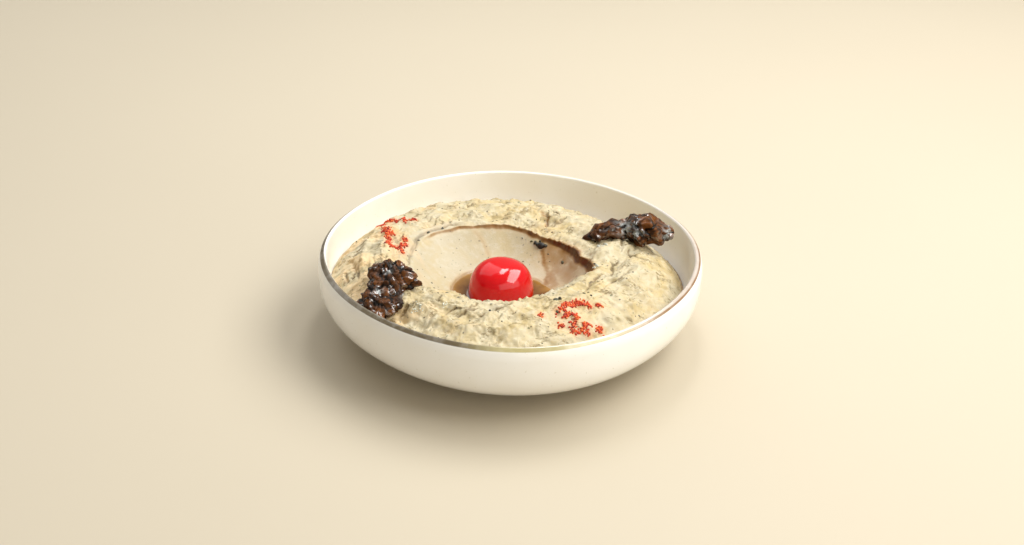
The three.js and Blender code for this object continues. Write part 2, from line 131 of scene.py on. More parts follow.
# Painted highlights on the walnuts, pale patches that stand in for wet reflections: place, with its
# height above the rim, and size.
PAINTED_GLINTS_LEFT = ((-50.2, -34, 6.2, 1.3), (-53.1, -43.9, 1.8, 1.6), (-43.7, -43.6, 0.9, 1.4))
PAINTED_GLINTS_RIGHT = ((50.6, 15.4, 3.4, 3.4), (55, 12, 1.8, 2.2), (70, 16.5, 0.8, 3.2), (44, 13.5, 3, 1.4))
WALNUTS = {
    "walnut_left": Sizes(
        spine=((-47.5, -18.5, 1.6), (-48.5, -30, 1.4), (-52.5, -43, -1.6), (-56, -57, -4.4)),
        girth=((0, 8, 5), (0.3, 10, 6.2), (0.58, 7.6, 5), (0.82, 8.8, 5.2), (1, 6, 3.6)),
        turn=0.4, rough=0.75, skew=0.8, cleft=-1, frost=PAINTED_GLINTS_LEFT,
    ),
    "walnut_right": Sizes(
        spine=((31.5, 14.5, -1.6), (44, 17.5, 0.8), (56, 18.5, 1.6), (73, 19.5, -0.2)),
        girth=((0, 1.6, 1.6), (0.2, 4.6, 4.4), (0.45, 4.4, 4), (0.72, 7.4, 6.9), (1, 5.4, 5.6)),
        turn=2.1, rough=0.2, skew=-0.3, cleft=None, frost=PAINTED_GLINTS_RIGHT,
    ),
}
NUT_ROWS = 150
NUT_SEGMENTS = 220
# The cleft in the left nut's far end, and how far its right lobe is set back.
CLEFT = Sizes(width=1.3, depth=0.2, towards=0.4, setback=2)
NUT_CRAGS = Sizes(coarse=9, fine=4.6, coarse_depth=0.24, fine_depth=0.12)
# Wrinkles on the nuts: the lengths and depths of large and small folds and of blisters.
WRINKLES = Sizes(large=4.6, small=2, blister=1.1, deep=1.8, shallow=0.8, bulge=0.2)

# ---- the looks' own sizes
# The dip's mesh: segments, rings in the well, then up the step, down the slope and underneath.
DIP_SEGMENTS = 720
WELL_RINGS = 27
OUTER_RINGS = {"step": 6, "slope": 98, "under": 5}
BOWL_SEGMENTS = 192
BOWL_STEPS = 27
INNER_STEPS = 36
OIL_SEGMENTS = 160
OIL_RINGS = 16
TOMATO_SEGMENTS = 112
TOMATO_STEPS = 33
THROWN = Sizes(turns=2.2, rise=40, height=0.12, radius=60)  # slight waves of the thrown wall
# The lip's line sways softly all round and is ragged in front: frequency and height of each wave.
EDGE_SWAY = (7, 0.9)
EDGE_WOBBLE = ((24, 0.5), (50, 0.3))
EDGE_RAGGED = ((0, 0.1), (60, 0.25), (165, 0.2), (210, 1), (320, 1), (345, 0.3))
# Flakes: saw-toothed folds with a slow rise and a sudden drop. They run round the ring, on a slant
# or, as flutes, down the outer slope; each table gives a share round the well.
FLAKES = Sizes(spacing=3.4, run=11, height=0.95, drop=0.16, sway=1.4, level=0.55)
RING_MIDDLE = 52
SLANT = ((20, 1), (60, 1), (100, 0.4), (130, 0.2), (200, 0.1), (225, 0.3), (255, 0.8), (330, 1))
SLANT_TURN = radians(44)
FLUTES = ((20, 0.2), (90, 0), (140, 0.3), (170, 1), (215, 1), (240, 0.8), (300, 0.7), (345, 0.4))
FLUTE_COUNT = 96
# How torn the paste is, round the well, and the lengths and heights of its tears, chips and grain.
TEXTURE = ((0, 0.6), (45, 0.6), (80, 0.85), (140, 0.6), (165, 0.8), (200, 0.95), (235, 0.8), (300, 0.6))
TEARS = Sizes(length=3, height=0.5)
CHIPS = Sizes(length=1.5, height=0.3)
GRAIN = Sizes(length=0.9, height=0.1)
TEETH = Sizes(length=1.7, height=1.3, width=1.1)  # little peaks along the front lip
TEETH_AT = ((215, 0), (240, 1), (320, 1), (350, 0.2), (20, 0))
WELL_ROUGHNESS = 0.1  # share of all this relief that is left in the smooth well

# The oil and painted shadow in the crease under the lip, round the well: how brown and how wide it is.
CREASE_OIL_AND_SHADOW = (
    (8, 1), (35, 0.95), (62, 0.8), (95, 0.6), (112, 0.6), (128, 0.52), (142, 0.45), (153, 0),
    (335, 0), (350, 0.7),
)
CREASE_WIDTH = ((0, 1.5), (22, 1.4), (45, 0.8), (75, 0.6), (120, 0.5), (200, 0.4))
# A smooth ledge at the left: how far out it reaches and how smooth it is.
LEDGE_DISTANCE = ((100, 39), (115, 42.5), (137, 45.2), (149, 47.4), (169, 45.7), (182, 46.2), (205, 45))
LEDGE_FADE = 1.6
LEDGE_STRENGTH = ((95, 0), (120, 0.6), (137, 1), (165, 1), (185, 0.6), (205, 0))
# The thin brown line at the left, outside the lip, a shallow groove darkened with painted shade: how far
# out it lies and how strong it is.
LINE_DISTANCE = ((112, 38.5), (131, 41), (141, 42.5), (149, 43), (164, 40.3), (177, 39.8), (195, 40))
LINE_STRENGTH = ((112, 0), (126, 0.9), (141, 1.3), (166, 1.2), (180, 0.7), (195, 0))
# Oil films: a line, its width and its strength. They lie in the well, and the last one on the ring too.
FILMS = (
    (((26.5, -2), (22, 5), (18, 13)), 6, 0.5),
    (((17.5, 4), (19, -3)), 3.2, 0.6),
    (((28, 0), (23, 11), (17, 16.5)), 2.2, 0.6),
    (((14.6, 15), (15.2, 10.6), (15.8, 5.7), (16.2, -1.6)), 1.5, 0.66),
    (((-16.1, 27.3), (-12.1, 23.4), (-9.5, 17.9)), 1.5, 0.3),
    (((-24, -8), (-20, -3)), 3.5, 0.16),
    (((22.4, 8), (23.6, 6.2)), 1, 0.8),
    (((13.8, 43.5), (16.2, 38), (15.8, 29)), 1.4, 0.5),
)
# Cracks in the ring, and their width and depth.
CRACKS = (
    ((52.5, 8.5), (52, 7), (53, 4.5), (54.5, -0.5)),
    ((43.5, -5), (44, -10), (42.5, -20)),
    ((44, -7.5), (46.5, -5.5)),
    ((48.5, 9.5), (51, 17.5)),
    ((16, 42), (16.5, 35.5), (15.5, 28)),
    ((-44.5, -47.5), (-43, -45.5), (-41, -45), (-39, -41.5)),
    ((-27.5, -55.5), (-26, -51), (-23, -49.5), (-21, -50.5), (-16, -50), (-13.5, -45.5)),
    ((-21, -53.5), (-18.5, -52.5), (-14, -49.5)),
    ((-12, -55), (-6.5, -50), (0.5, -47)),
    ((45.5, -25), (48, -21.5), (51, -14)),
    ((41.5, -26.5), (43, -25.5), (44.5, -26)),
    ((31.5, -32), (33.5, -27.5), (37, -21.5), (39.5, -16.5)),
    ((18, 44), (21.5, 38.5), (25, 40.5)),
    ((18.5, 30), (22, 31.5), (24.5, 35.5)),
    ((-29, 44.5), (-27.5, 45.5)),
    ((-20.5, 46), (-18.5, 50.5)),
    ((4.5, -41), (12.5, -42), (18, -38)),
    ((-69.5, -2.5), (-67, -11), (-67.5, -18.5)),
    ((-66, -5.5), (-66, -11), (-64.5, -21)),
    ((-71.5, -10.5), (-69.5, -19)),
)
CRACK = Sizes(width=0.65, depth=0.9)
# Larger bits in the paste: place, size and shade, from 0 for black to 1 for pale.
BITS = (
    (10.8, 20, 1.2, 0.15), (12.1, 18.6, 1.5, 0.05), (13.7, 17.3, 2.2, 0), (15.3, 16.6, 1.4, 0.1),
    (13, 19.4, 0.9, 0.3), (9.2, 21.2, 0.7, 0.5), (23, 7.1, 0.9, 0.4), (-31.2, 25.7, 1, 0.3),
    (-37.3, 21.5, 0.9, 0.35), (19, -42.6, 1.3, 0.4), (20.6, -41.2, 1.1, 0.3), (38.5, 4.4, 1.5, 0.85),
    (41.5, 6.2, 1, 0.8), (37.4, -7.9, 1.1, 0.85), (36.4, -6.6, 0.6, 0.2), (-7.8, -52, 1.1, 0.1),
    (-3, -58.3, 0.5, 0.35), (-51.2, -19.9, 0.8, 0.3),
)
# Patches of pale crumbs: place, spread and number.
PALE_CRUMBS = ((-37.4, -48.2, 1.3, 16), (-26.4, -46.3, 0.8, 7), (36.6, -8.4, 0.7, 6), (40.5, 5.6, 1, 8))
# Paprika: the line that each clump of grains follows.
PAPRIKA_TRAILS = (
    ((-60.6, 29), (-59, 33), (-56.7, 34.4), (-53.7, 34), (-49.7, 30.7), (-47.6, 28.5)),
    ((-45.7, 30), (-43.9, 29.1)),
    ((-57.6, 28), (-56.3, 23)),
    ((-57.9, 20.1), (-55.4, 17.3), (-53.9, 15.7), (-52.9, 17.8)),
    ((-55.4, 17.3), (-54.3, 11.8), (-54.1, 4.7), (-52.3, 3.5), (-50.4, 2.4), (-48.4, 2)),
    ((-47.7, 9.2), (-46.3, 10.4)),
    ((-49.5, 4.7), (-47.2, 5.8), (-46.3, 7.1)),
    ((-48.4, 2), (-47.3, -0.5), (-47.6, -1.6)),
    ((24.6, -46.6), (26.8, -44.4), (29.1, -43.8), (30.8, -43.6), (32.5, -44.1), (33.2, -45.6)),
    ((35.6, -43.9), (37, -44.6)),
    ((19, -51.1), (21.9, -48.9), (22.7, -46.1), (25.3, -46.1)),
    ((21.8, -53.6), (23.3, -52.2), (24.6, -50.8), (25.8, -51.8), (27.4, -54.3), (26.4, -55.6)),
    ((26.4, -55.6), (25.3, -59), (26.3, -60.8), (27.8, -60), (29.9, -59.3), (31, -58),
     (30.7, -56.4), (33, -56)),
    ((20.3, -58.2), (21.6, -57.6)),
    ((31.2, -60.2), (32.4, -60)),
    ((35.6, -56.6), (36.9, -55.5), (37.2, -55.9), (36.2, -57.4)),
    ((12.3, -53.8), (12.9, -54.2)),
)
SPICE_REACH = 1.7
# The grains: how many, how far they stray, their sizes, and their lift as a share of the size.
PAPRIKA_GRAINS = Sizes(per_mm=9, least=14, spread=0.62, smallest=0.28, largest=0.68, lift=0.2)
# Flecks: how many are tried and how far out, their sizes, and the share left out in the well.
FLECKS = Sizes(
    tried=230, nearest=12, farthest=72, off_wall=2, least=0.22, spread=0.26, largest=1, spared=0.55,
)
CRUMBS = Sizes(smallest=0.3, largest=0.75, darkest=0.85)
BIT_LIFT = 0.1
# Heights of the bits as shares of their widths.
FLATNESS = Sizes(grain=0.7, fleck=0.35, crumb=0.5, bit=0.55)

# ---- the stage, in metres
# Soft lights: size, colour, direction seen from the dish, and distance.
LIGHTS = {
    "key": ((1.15, 0.5), (1, 0.995, 0.975), (0.57, 0.06, 0.8), 0.9),
    "top": ((0.15, 0.42), (1, 1, 1), (0.06, 0.41, 0.91), 0.8),
    "front": ((1.8, 1), (1, 0.97, 0.9), (0.58, -0.74, 0.42), 1.2),
    "left": ((0.9, 0.9), (0.94, 0.97, 1), (-0.4, 0.52, 0.75), 1),
}
LENS = {"lens": 50, "sensor_width": 36, "shift_x": 0.001, "shift_y": -0.0233, "clip_start": 0.01}
FLOOR_REACH = 3


# ---- small helpers
def mix(a, b, share):
    return a + (b - a) * share


def smooth(low, high, value):
    """0 below low, 1 above high, and a soft curve between."""
    share = min(1, max(0, (value - low) / (high - low)))
    return share * share * (3 - 2 * share)


def bell(value):
    """1 at 0, falling softly to nothing at about 2 on either side."""
    return exp(-(value ** 2))


def wobble(x, y, size, layer):
    """Smooth noise over the dish, with features of a size in millimetres."""
    return noise.noise(Vector((x / size, y / size, layer)))


def bearing(x, y):
    return degrees(atan2(y, x)) % 360


def around(stops, angle):
    """Smooth value at an angle between (angle, value) stops that go once round."""
    index = bisect_right([stop[0] for stop in stops], angle) % len(stops)
    low = stops[index - 1]
    high = stops[index]
    span = (high[0] - low[0]) % 360
    share = ((angle - low[0]) % 360) / span
    return mix(low[1], high[1], (1 - cos(pi * share)) / 2)


def roundness(angle):
    """Share of the round radius at an angle, as the thrown bowl is slightly out of round."""
    a = radians(angle)
    return (
        1
        + OUT_OF_ROUND.sine3 * sin(3 * a)
        + OUT_OF_ROUND.cosine4 * cos(4 * a)
        + OUT_OF_ROUND.sine4 * sin(4 * a)
    )


def away_from(x, y, start, end):
    """How far a point is from the straight line between two others."""
    (ax, ay), (bx, by) = start, end
    along = ((x - ax) * (bx - ax) + (y - ay) * (by - ay)) / ((bx - ax) ** 2 + (by - ay) ** 2)
    share = min(1, max(0, along))
    return hypot(x - mix(ax, bx, share), y - mix(ay, by, share))


def nearness(x, y, lines, reach):
    """1 on the lines, falling to 0 at about twice the reach from them."""
    least = 9
    for line in lines:
        for start, end in zip(line, line[1:]):
            if abs(2 * x - start[0] - end[0]) >= abs(start[0] - end[0]) + 6 * reach:
                continue
            if abs(2 * y - start[1] - end[1]) < abs(start[1] - end[1]) + 6 * reach:
                least = min(least, (away_from(x, y, start, end) / reach) ** 2)
    return exp(-least) if least < 9 else 0


def placed(x, y, z):
    """A point of the dish, in millimetres from the rim's middle, as metres in the frame."""
    return Vector((x * MM, (y + DISH_SHIFT) * MM, z * MM))


def srgb(red, green, blue):
    """Linear colour of a screen colour given from 0 to 255."""
    return tuple(((c / 255 + 0.055) / 1.055) ** 2.4 if c > 10 else c / 3295 for c in (red, green, blue))


def rgba(colour):
    return (colour[0], colour[1], colour[2], 1)


# ---- meshes
def wrapped_grid(rows, segments, place, *layers):
    """A grid whose points go to place(row, turn), a turn being a share of the way round.

    place gives the point in metres and a value for each named float layer.
    """
    mesh = bmesh.new()
    kept = [mesh.verts.layers.float.new(layer) for layer in layers]
    bmesh.ops.create_grid(mesh, x_segments=rows - 1, y_segments=segments, size=1)
    for vert in mesh.verts:
        row = round((vert.co.x + 1) / 2 * (rows - 1))
        step = round((vert.co.y + 1) / 2 * segments) % segments
        vert.co, *values = place(row, step / segments)
        for layer, value in zip(kept, values):
            vert[layer] = value
    bmesh.ops.remove_doubles(mesh, verts=mesh.verts, dist=1e-7)
    outward(mesh)
    return mesh


def outward(mesh):
    bmesh.ops.recalc_face_normals(mesh, faces=mesh.faces)
    if mesh.calc_volume(signed=True) < 0:
        bmesh.ops.reverse_faces(mesh, faces=mesh.faces)


def linked(name, data):
    """A new object in the scene."""
    made = bpy.data.objects.new(name, data)
    bpy.context.scene.collection.objects.link(made)
    return made


def solid(mesh, name, material):
    """Turns a bmesh into an object with one material."""
    data = bpy.data.meshes.new(name)
    mesh.to_mesh(data)
    mesh.free()
    data.materials.append(material)
    return linked(name, data)


def finished(mesh, name, material, node=None):
    """Turns a bmesh into a smooth piece that rides with the dish."""
    for face in mesh.faces:
        face.smooth = True
    piece = solid(mesh, name, material)
    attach(piece, "root")
    if node:
        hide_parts(node)


# ---- shaders
def feed(socket, value):
    """Links a socket to a Value, or sets it to a constant."""
    if isinstance(value, Value):
        value.tree.links.new(value.socket, socket)
    else:
        socket.default_value = value


class Value:
    """A shader socket that can stand in a Python expression."""

    def __init__(self, tree, socket):
        self.tree = tree
        self.socket = socket

    def output(self, name):
        """Another output of the same node."""
        return Value(self.tree, self.socket.node.outputs[name])

    def combine(self, operation, first, second):
        node = self.tree.nodes.new("ShaderNodeMath")
        node.operation = operation
        feed(node.inputs[0], first)
        feed(node.inputs[1], second)
        return Value(self.tree, node.outputs[0])

    def __add__(self, other):
        return self.combine("ADD", self, other)

    def __sub__(self, other):
        return self.combine("SUBTRACT", self, other)

    def __rsub__(self, other):
        return self.combine("SUBTRACT", other, self)

    def __mul__(self, other):
        return self.combine("MULTIPLY", self, other)


class Finish:
    """A material being made: its nodes, and the shader that they feed."""

    def __init__(self, name):
        self.material = bpy.data.materials.new(name)
        self.material.use_nodes = True
        self.tree = self.material.node_tree
        self.shader = self.tree.nodes["Principled BSDF"]
        self.place = self.node("ShaderNodeTexCoord", output="Object")

    def node(self, kind, settings=None, sockets=None, output=0):
        node = self.tree.nodes.new(kind)
        for name, setting in (settings or {}).items():
            setattr(node, name, setting)
        for name, value in (sockets or {}).items():
            feed(node.inputs[name], value)
        return Value(self.tree, node.outputs[output])

    def set(self, **sockets):
        for name, value in sockets.items():
            feed(self.shader.inputs[name.replace("_", " ")], value)

    def noise(self, scale, detail=2, roughness=0.5, distortion=0, place=None):
        return self.node("ShaderNodeTexNoise", sockets={
            "Vector": place or self.place, "Scale": scale, "Detail": detail,
            "Roughness": roughness, "Distortion": distortion,
        })

    def attribute(self, name):
        return self.node("ShaderNodeAttribute", {"attribute_name": name}, output="Fac")

    def ramp(self, value, stops, smooth_steps=True):
        """Maps a value to a colour through (place, colour) stops."""
        node = self.tree.nodes.new("ShaderNodeValToRGB")
        node.color_ramp.interpolation = "EASE" if smooth_steps else "LINEAR"
        elements = node.color_ramp.elements
        while len(elements) < len(stops):
            elements.new(0.5)
        for element, (spot, colour) in zip(elements, stops):
            element.position = spot
            element.color = rgba(colour)
        feed(node.inputs["Fac"], value)
        return Value(self.tree, node.outputs["Color"])

    def span(self, value, low, high, start=0, end=1):
        """A value between low and high, mapped softly to start and end."""
        return self.node(
            "ShaderNodeMapRange", {"interpolation_type": "SMOOTHSTEP"},
            {"Value": value, "From Min": low, "From Max": high, "To Min": start, "To Max": end},
        )

    def blend(self, share, first, second):
        node = self.tree.nodes.new("ShaderNodeMix")
        node.data_type = "RGBA"
        feed(node.inputs[0], share)
        for place, colour in ((node.inputs[6], first), (node.inputs[7], second)):
            feed(place, colour if isinstance(colour, Value) else rgba(colour))
        return Value(self.tree, node.outputs[2])

    def bump(self, height, distance, strength, normal=None):
        sockets = {"Height": height, "Distance": distance, "Strength": strength}
        if normal is not None:
            sockets["Normal"] = normal
        return self.node("ShaderNodeBump", sockets=sockets)


def glaze_finish(settings):
    """White glaze with a thin brown line on the lip, whose colour also carries a painted reflection:
    dark at the left, light in front and coppery at the right.
    """
    finish = Finish("glaze_white")
    cloud = finish.noise(38, 3, 0.55)
    white = finish.blend(finish.span(cloud, 0.35, 0.7), settings.glaze, settings.glaze_shade)
    specks = finish.span(finish.noise(900, 1, 0.4), 0.73, 0.78)
    white = finish.blend(specks * 0.25, white, settings.line_middle_light_reflection)
    across = finish.node("ShaderNodeSeparateXYZ", sockets={"Vector": finish.place}, output="X")
    side = finish.span(across, -WIDEST * MM, WIDEST * MM)
    # The line's colour across the bowl is its brown with a painted reflection: dark at the left, light
    # in front, coppery at the right.
    line = finish.ramp(side, (
        (0, settings.line_left_dark_reflection),
        (0.3, settings.line_left_dark_reflection),
        (0.5, settings.line_middle_light_reflection),
        (0.8, settings.line_middle_light_reflection),
        (1, settings.line_right_copper_reflection),
    ))
    uneven = finish.span(finish.noise(160, 3, 0.6), 0.3, 0.6, 0.88, 1)
    band = finish.attribute("band") * uneven
    ripple = finish.noise(55, 2, 0.5)
    finish.set(
        Base_Color=finish.blend(band, white, line),
        Roughness=finish.span(cloud, 0.3, 0.7, 0.16, 0.24),
        Normal=finish.bump(ripple, 0.0004, 0.5),
        Coat_Weight=0.3,
        Coat_Roughness=0.08,
        IOR=1.5,
    )
    return finish.material


def dip_finish(settings):
    """Cream paste with soft colour drifts, painted shade in its creases, grooves and cracks, oil films
    with painted shadow in the crease under the lip, and scattered dark flecks.
    """
    finish = Finish("dip_cream")
    drift = finish.noise(52, 4, 0.6, 0.6)
    mottle = finish.noise(330, 3, 0.6)
    cream = finish.blend(finish.span(drift, 0.36, 0.66), settings.cream, settings.cream_warm)
    cream = finish.blend(finish.span(mottle, 0.45, 0.7, 0, 0.5), cream, settings.cream_pale)
    hollow = finish.attribute("hollow")
    stain = finish.attribute("stain")
    # Painted shade: creases, tears, chips and the groove line are darkened, and the cracks most of all.
    tone = finish.blend(finish.span(hollow, 0.2, 1, 0, 0.75), cream, settings.hollow)
    tone = finish.blend(finish.span(hollow, 0.9, 1.7, 0, 0.85), tone, settings.crack_and_shade)
    tone = finish.blend(stain * 0.6, tone, settings.stain)
    waver = finish.node(
        "ShaderNodeTexNoise", sockets={"Vector": finish.place, "Scale": 420}, output="Color")
    warped = finish.blend(0.0018, finish.place, waver)
    for scale, size, amount, colour in (
        (300, 0.17, 0.62, settings.fleck_dark),
        (520, 0.2, 0.6, settings.fleck_grey),
        (210, 0.13, 0.55, settings.fleck_green),
    ):
        near = finish.node("ShaderNodeTexVoronoi", sockets={
            "Vector": warped, "Scale": scale, "Randomness": 1,
        }, output="Distance")
        chosen = finish.node(
            "ShaderNodeSeparateColor", sockets={"Color": near.output("Color")}, output="Red")
        fleck = finish.span(near, size, size * 0.45) * finish.span(chosen, amount, amount + 0.2)
        tone = finish.blend(fleck * 0.8, tone, colour)
    rough = finish.attribute("rough")
    tone = finish.blend((1 - rough) * 0.3, tone, settings.cream_well)
    drawn_out = finish.node("ShaderNodeMapping", sockets={
        "Vector": finish.place, "Rotation": (0, 0, 0.35), "Scale": (0.5, 1.5, 1),
    })
    # Thin dark lines of painted shade along the torn ridges; they also dent the bump.
    veins = finish.noise(260, 4, 0.6, place=drawn_out) - 0.5
    where = finish.span(finish.noise(170, 2, 0.5), 0.5, 0.62) * finish.span(rough, 0, 1, 0.05, 1)
    tear_line_shade = finish.span(veins * veins, 0.0009, 0) * where
    tone = finish.blend(tear_line_shade * 0.7, tone, settings.tear_line_shade)
    tone = finish.blend(finish.attribute("spice") * 0.5, tone, settings.spice)
    oil = finish.attribute("oil")
    film = finish.ramp(oil, (
        (0, settings.stain),
        (0.5, settings.oil_light),
        (1, settings.oil_dark),
    ))
    tone = finish.blend(finish.span(oil, 0, 0.8), tone, film)
    ridges = finish.node("ShaderNodeTexNoise", {"noise_type": "RIDGED_MULTIFRACTAL"}, {
        "Vector": finish.place, "Scale": 260, "Detail": 4, "Roughness": 0.6, "Lacunarity": 2.2,
    })
    grain = finish.bump(finish.noise(1500, 3, 0.6), 0.00022, 0.4)
    crumbs = finish.bump((1 - ridges) * (rough * 0.95 + 0.05), 0.0008, 0.9, grain)
    creased = finish.bump(1 - tear_line_shade, 0.0004, 0.7, crumbs)
    wet = finish.span(oil, 0.1, 0.6)
    finish.set(
        Base_Color=tone,
        Roughness=finish.span(mottle, 0.3, 0.75, 0.4, 0.66) * (1 - wet * 0.7),
        Normal=creased,
        Subsurface_Weight=0.08,
        Subsurface_Radius=(0.0012, 0.0008, 0.0005),
        Subsurface_Scale=1,
        IOR=1.42,
    )
    return finish.material


def tomato_finish(settings):
    """Glossy red skin, a touch lighter and more orange in soft streaks."""
    finish = Finish("tomato_skin")
    streaks = finish.node("ShaderNodeTexNoise", sockets={
        "Vector": finish.node("ShaderNodeMapping", sockets={
            "Vector": finish.place, "Scale": (1, 1, 0.25),
        }),
        "Scale": 240, "Detail": 3,
    })
    red = finish.blend(
        finish.span(streaks, 0.4, 0.75, 0, 0.5), settings.tomato, settings.tomato_light)
    across = finish.node("ShaderNodeSeparateXYZ", sockets={"Vector": finish.place}, output="X")
    finish.set(
        Base_Color=red,
        Roughness=finish.span(finish.noise(600, 2), 0.3, 0.7, 0.1, 0.16),
        Normal=finish.bump(finish.noise(90, 1), 0.0006, 0.35),
        Subsurface_Weight=0.1,
        Subsurface_Radius=(0.004, 0.001, 0.0006),
        Subsurface_Scale=0.5,
        Specular_IOR_Level=0.15,
        Coat_Weight=finish.span(across, -0.012, 0.002, 0.3, 1),
        Coat_Roughness=0.06,
    )
    return finish.material


def walnut_finish(settings):
    """Dark, sticky brown: red-brown on the crags, near black from painted shade in the folds, with pale
    painted highlights and wet gloss.
    """
    finish = Finish("walnut_glazed")
    patches = finish.noise(190, 4, 0.65, 0.8)
    hollow = finish.attribute("hollow")
    brown = finish.blend(
        finish.span(patches, 0.38, 0.68), settings.walnut, settings.walnut_light)
    # Painted shade: near black in the folds and the cleft.
    brown = finish.blend(finish.span(hollow, 0.05, 0.6, 0, 0.94), brown, settings.walnut_painted_shade)
    # Painted highlight: pale patches where the wet glaze would reflect the lights.
    frost = finish.attribute("frost") * finish.span(finish.noise(340, 3, 0.6), 0.44, 0.56)
    brown = finish.blend(frost, brown, settings.walnut_painted_glint)
    skin = finish.bump(finish.noise(900, 2, 0.6), 0.0002, 0.4)
    finish.set(
        Base_Color=brown,
        Roughness=finish.span(finish.noise(420, 3), 0.35, 0.65, 0.25, 0.5),
        Normal=finish.bump(finish.noise(330, 3, 0.6), 0.0005, 0.6, skin),
        Specular_IOR_Level=0.15,
        Coat_Weight=finish.span(finish.noise(300, 2, 0.5), 0.54, 0.6, 0, 1),
        Coat_Roughness=0.05,
        Coat_IOR=2.1,
    )
    return finish.material


def oil_finish(settings):
    """Brown-gold oil, thinner and paler towards its shore."""
    finish = Finish("oil_gold")
    deep = finish.attribute("depth")
    swirl = finish.span(finish.noise(140, 3, 0.5, 0.5), 0.35, 0.65, -0.12, 0.12)
    colour = finish.ramp(deep + swirl, ((0, settings.oil_light), (1, settings.oil_dark)))
    finish.set(
        Base_Color=colour,
        Roughness=0.07,
        Normal=finish.bump(finish.noise(120, 1), 0.0003, 0.3),
        Coat_Weight=0.6,
        Coat_Roughness=0.03,
    )
    return finish.material


def grain_finish(name, colours, roughness):
    """Dry or moist bits whose colour changes from bit to bit."""
    finish = Finish(name)
    pick = finish.attribute("pick")
    stops = tuple((i / (len(colours) - 1), colour) for i, colour in enumerate(colours))
    finish.set(
        Base_Color=finish.ramp(pick, stops, smooth_steps=False),
        Roughness=finish.span(finish.noise(900, 2), 0.3, 0.7, roughness - 0.1, roughness + 0.1),
        Normal=finish.bump(finish.noise(2500, 2), 0.0001, 0.5),
    )
    return finish.material


def floor_finish(settings):
    finish = Finish("floor_pale")
    cloud = finish.noise(3, 3)
    finish.set(
        Base_Color=finish.blend(cloud, settings.floor, settings.floor_shade),
        Roughness=0.7,
    )
    return finish.material


# ---- the bowl's shape
def inner_wall(share):
    """Radius and drop of the inner wall, from the top of its curve to the middle of the floor."""
    angle = share * pi / 2
    power = 2 / INNER_WALL.power
    depth = INNER_WALL.floor_drop - INNER_WALL.top_drop
    radius = INNER_WALL.radius * max(0, cos(angle)) ** power
    return radius, INNER_WALL.top_drop + depth * sin(angle) ** power


def inner_share_at(drop):
    """The share that inner_wall takes to reach a drop."""
    depth = (drop - INNER_WALL.top_drop) / (INNER_WALL.floor_drop - INNER_WALL.top_drop)
    return asin(min(1, max(0, depth)) ** (INNER_WALL.power / 2)) / (pi / 2)


def inner_radius_at(height):
    return inner_wall(inner_share_at(RIM - height))[0]


def outer_wall(angle):
    power = 2 / OUTER_WALL.power
    depth = OUTER_WALL.foot_drop - OUTER_WALL.top_drop
    radius = OUTER_WALL.radius * cos(angle) ** power
    return radius, RIM - OUTER_WALL.top_drop - depth * sin(angle) ** power


def bowl_profile(lip_width):
    """(radius, height, place on the bevel) from the underside up, over the lip and down inside."""
    inner = FOOT.inner
    outer = FOOT.outer
    edge = FOOT.edge
    profile = [(radius, FOOT.recess, 0) for radius in (0, 12, 24, 34, 40, inner - 0.6)]
    profile += [(inner, 1.4, 0), (inner + 0.1, 0.6, 0), (inner + edge, 0.05, 0)]
    profile += [(mix(inner, outer, share), 0, 0) for share in (0.3, 0.5, 0.7)]
    profile += [(outer - edge, 0.05, 0), (outer, edge, 0), (outer, 2.6, 0)]
    foot_angle = acos((outer / WIDEST) ** (OUTER_WALL.power / 2))
    profile += [(*outer_wall(foot_angle * (0.995 - step / BOWL_STEPS)), 0) for step in range(BOWL_STEPS)]
    bevel_drop = lip_width * sin(radians(BEVEL_SLOPE))
    bevel_run = lip_width * cos(radians(BEVEL_SLOPE))
    for share in (0.15, 0.3, 0.45, 0.6, 0.75, 0.88, 0.96):
        drop = mix(OUTER_WALL.top_drop, bevel_drop, share)
        profile.append((mix(WIDEST, RIM_EDGE_RADIUS, share ** 2), RIM - drop, 0))
    for share in (0.04, 0.12, 0.22, 0.33, 0.45, 0.55, 0.67, 0.78, 0.88, 1):
        radius = RIM_EDGE_RADIUS - bevel_run * share
        profile.append((radius, RIM - bevel_drop * (1 - share) - 0.06 * (share > 0.98), share))
    reach = RIM_EDGE_RADIUS - bevel_run - INNER_WALL.radius
    for angle in (25, 45, 62, 78, 90):
        turn = radians(angle)
        radius = INNER_WALL.radius + reach * (1 - sin(turn))
        profile.append((radius, RIM - LIP_ROUND * (1 - cos(turn)), 1 + angle / 300 if angle < 50 else 0))
    for drop in (1.6, 2.6, 3.6):
        profile.append((INNER_WALL.radius, RIM - drop, 0))
    for step in range(INNER_STEPS + 1):
        radius, drop = inner_wall(step / INNER_STEPS)
        profile.append((0 if step == INNER_STEPS else radius, RIM - drop, 0))
    return profile


# ---- the dip's shape
def well_point(angle, distance):
    a = radians(angle)
    return WELL.x + distance * cos(a), WELL.y + distance * sin(a)


def wall_distance(angle):
    """How far the wall is from the well's middle, at the height where the dip meets it."""
    radius = inner_wall(inner_share_at(around(CONTACT_DROP, angle)))[0]
    distance = radius
    for _ in range(6):
        x, y = well_point(angle, distance)
        distance += radius * roundness(bearing(x, y)) - WALL_GAP - hypot(x, y)
    return distance


def ring_relief(x, y, angle, from_lip):
    a = radians(angle)
    sway = FOLDS.sway * sin(2 * a + 0.6) + FOLDS.drift * angle / 360
    wave = abs(sin(pi * (from_lip + sway) / FOLDS.length))
    folds = FOLDS.height * (FOLDS.level - wave) * sqrt(abs(sin(a / 2)))
    lumps = LUMPS.height * sin(2 * pi * x / LUMPS.length_x + 1)
    lumps *= sin(2 * pi * y / LUMPS.length_y + 0.4)
    crags = CRAGS.height * sin(2 * pi * (x + 0.4 * y) / CRAGS.length_x)
    crags *= sin(2 * pi * (y - 0.3 * x) / CRAGS.length_y + 2)
    strokes = sum(
        height * bell(away_from(x, y, start, end) / width) for start, end, width, height in STROKES)
    return folds + lumps + crags + strokes


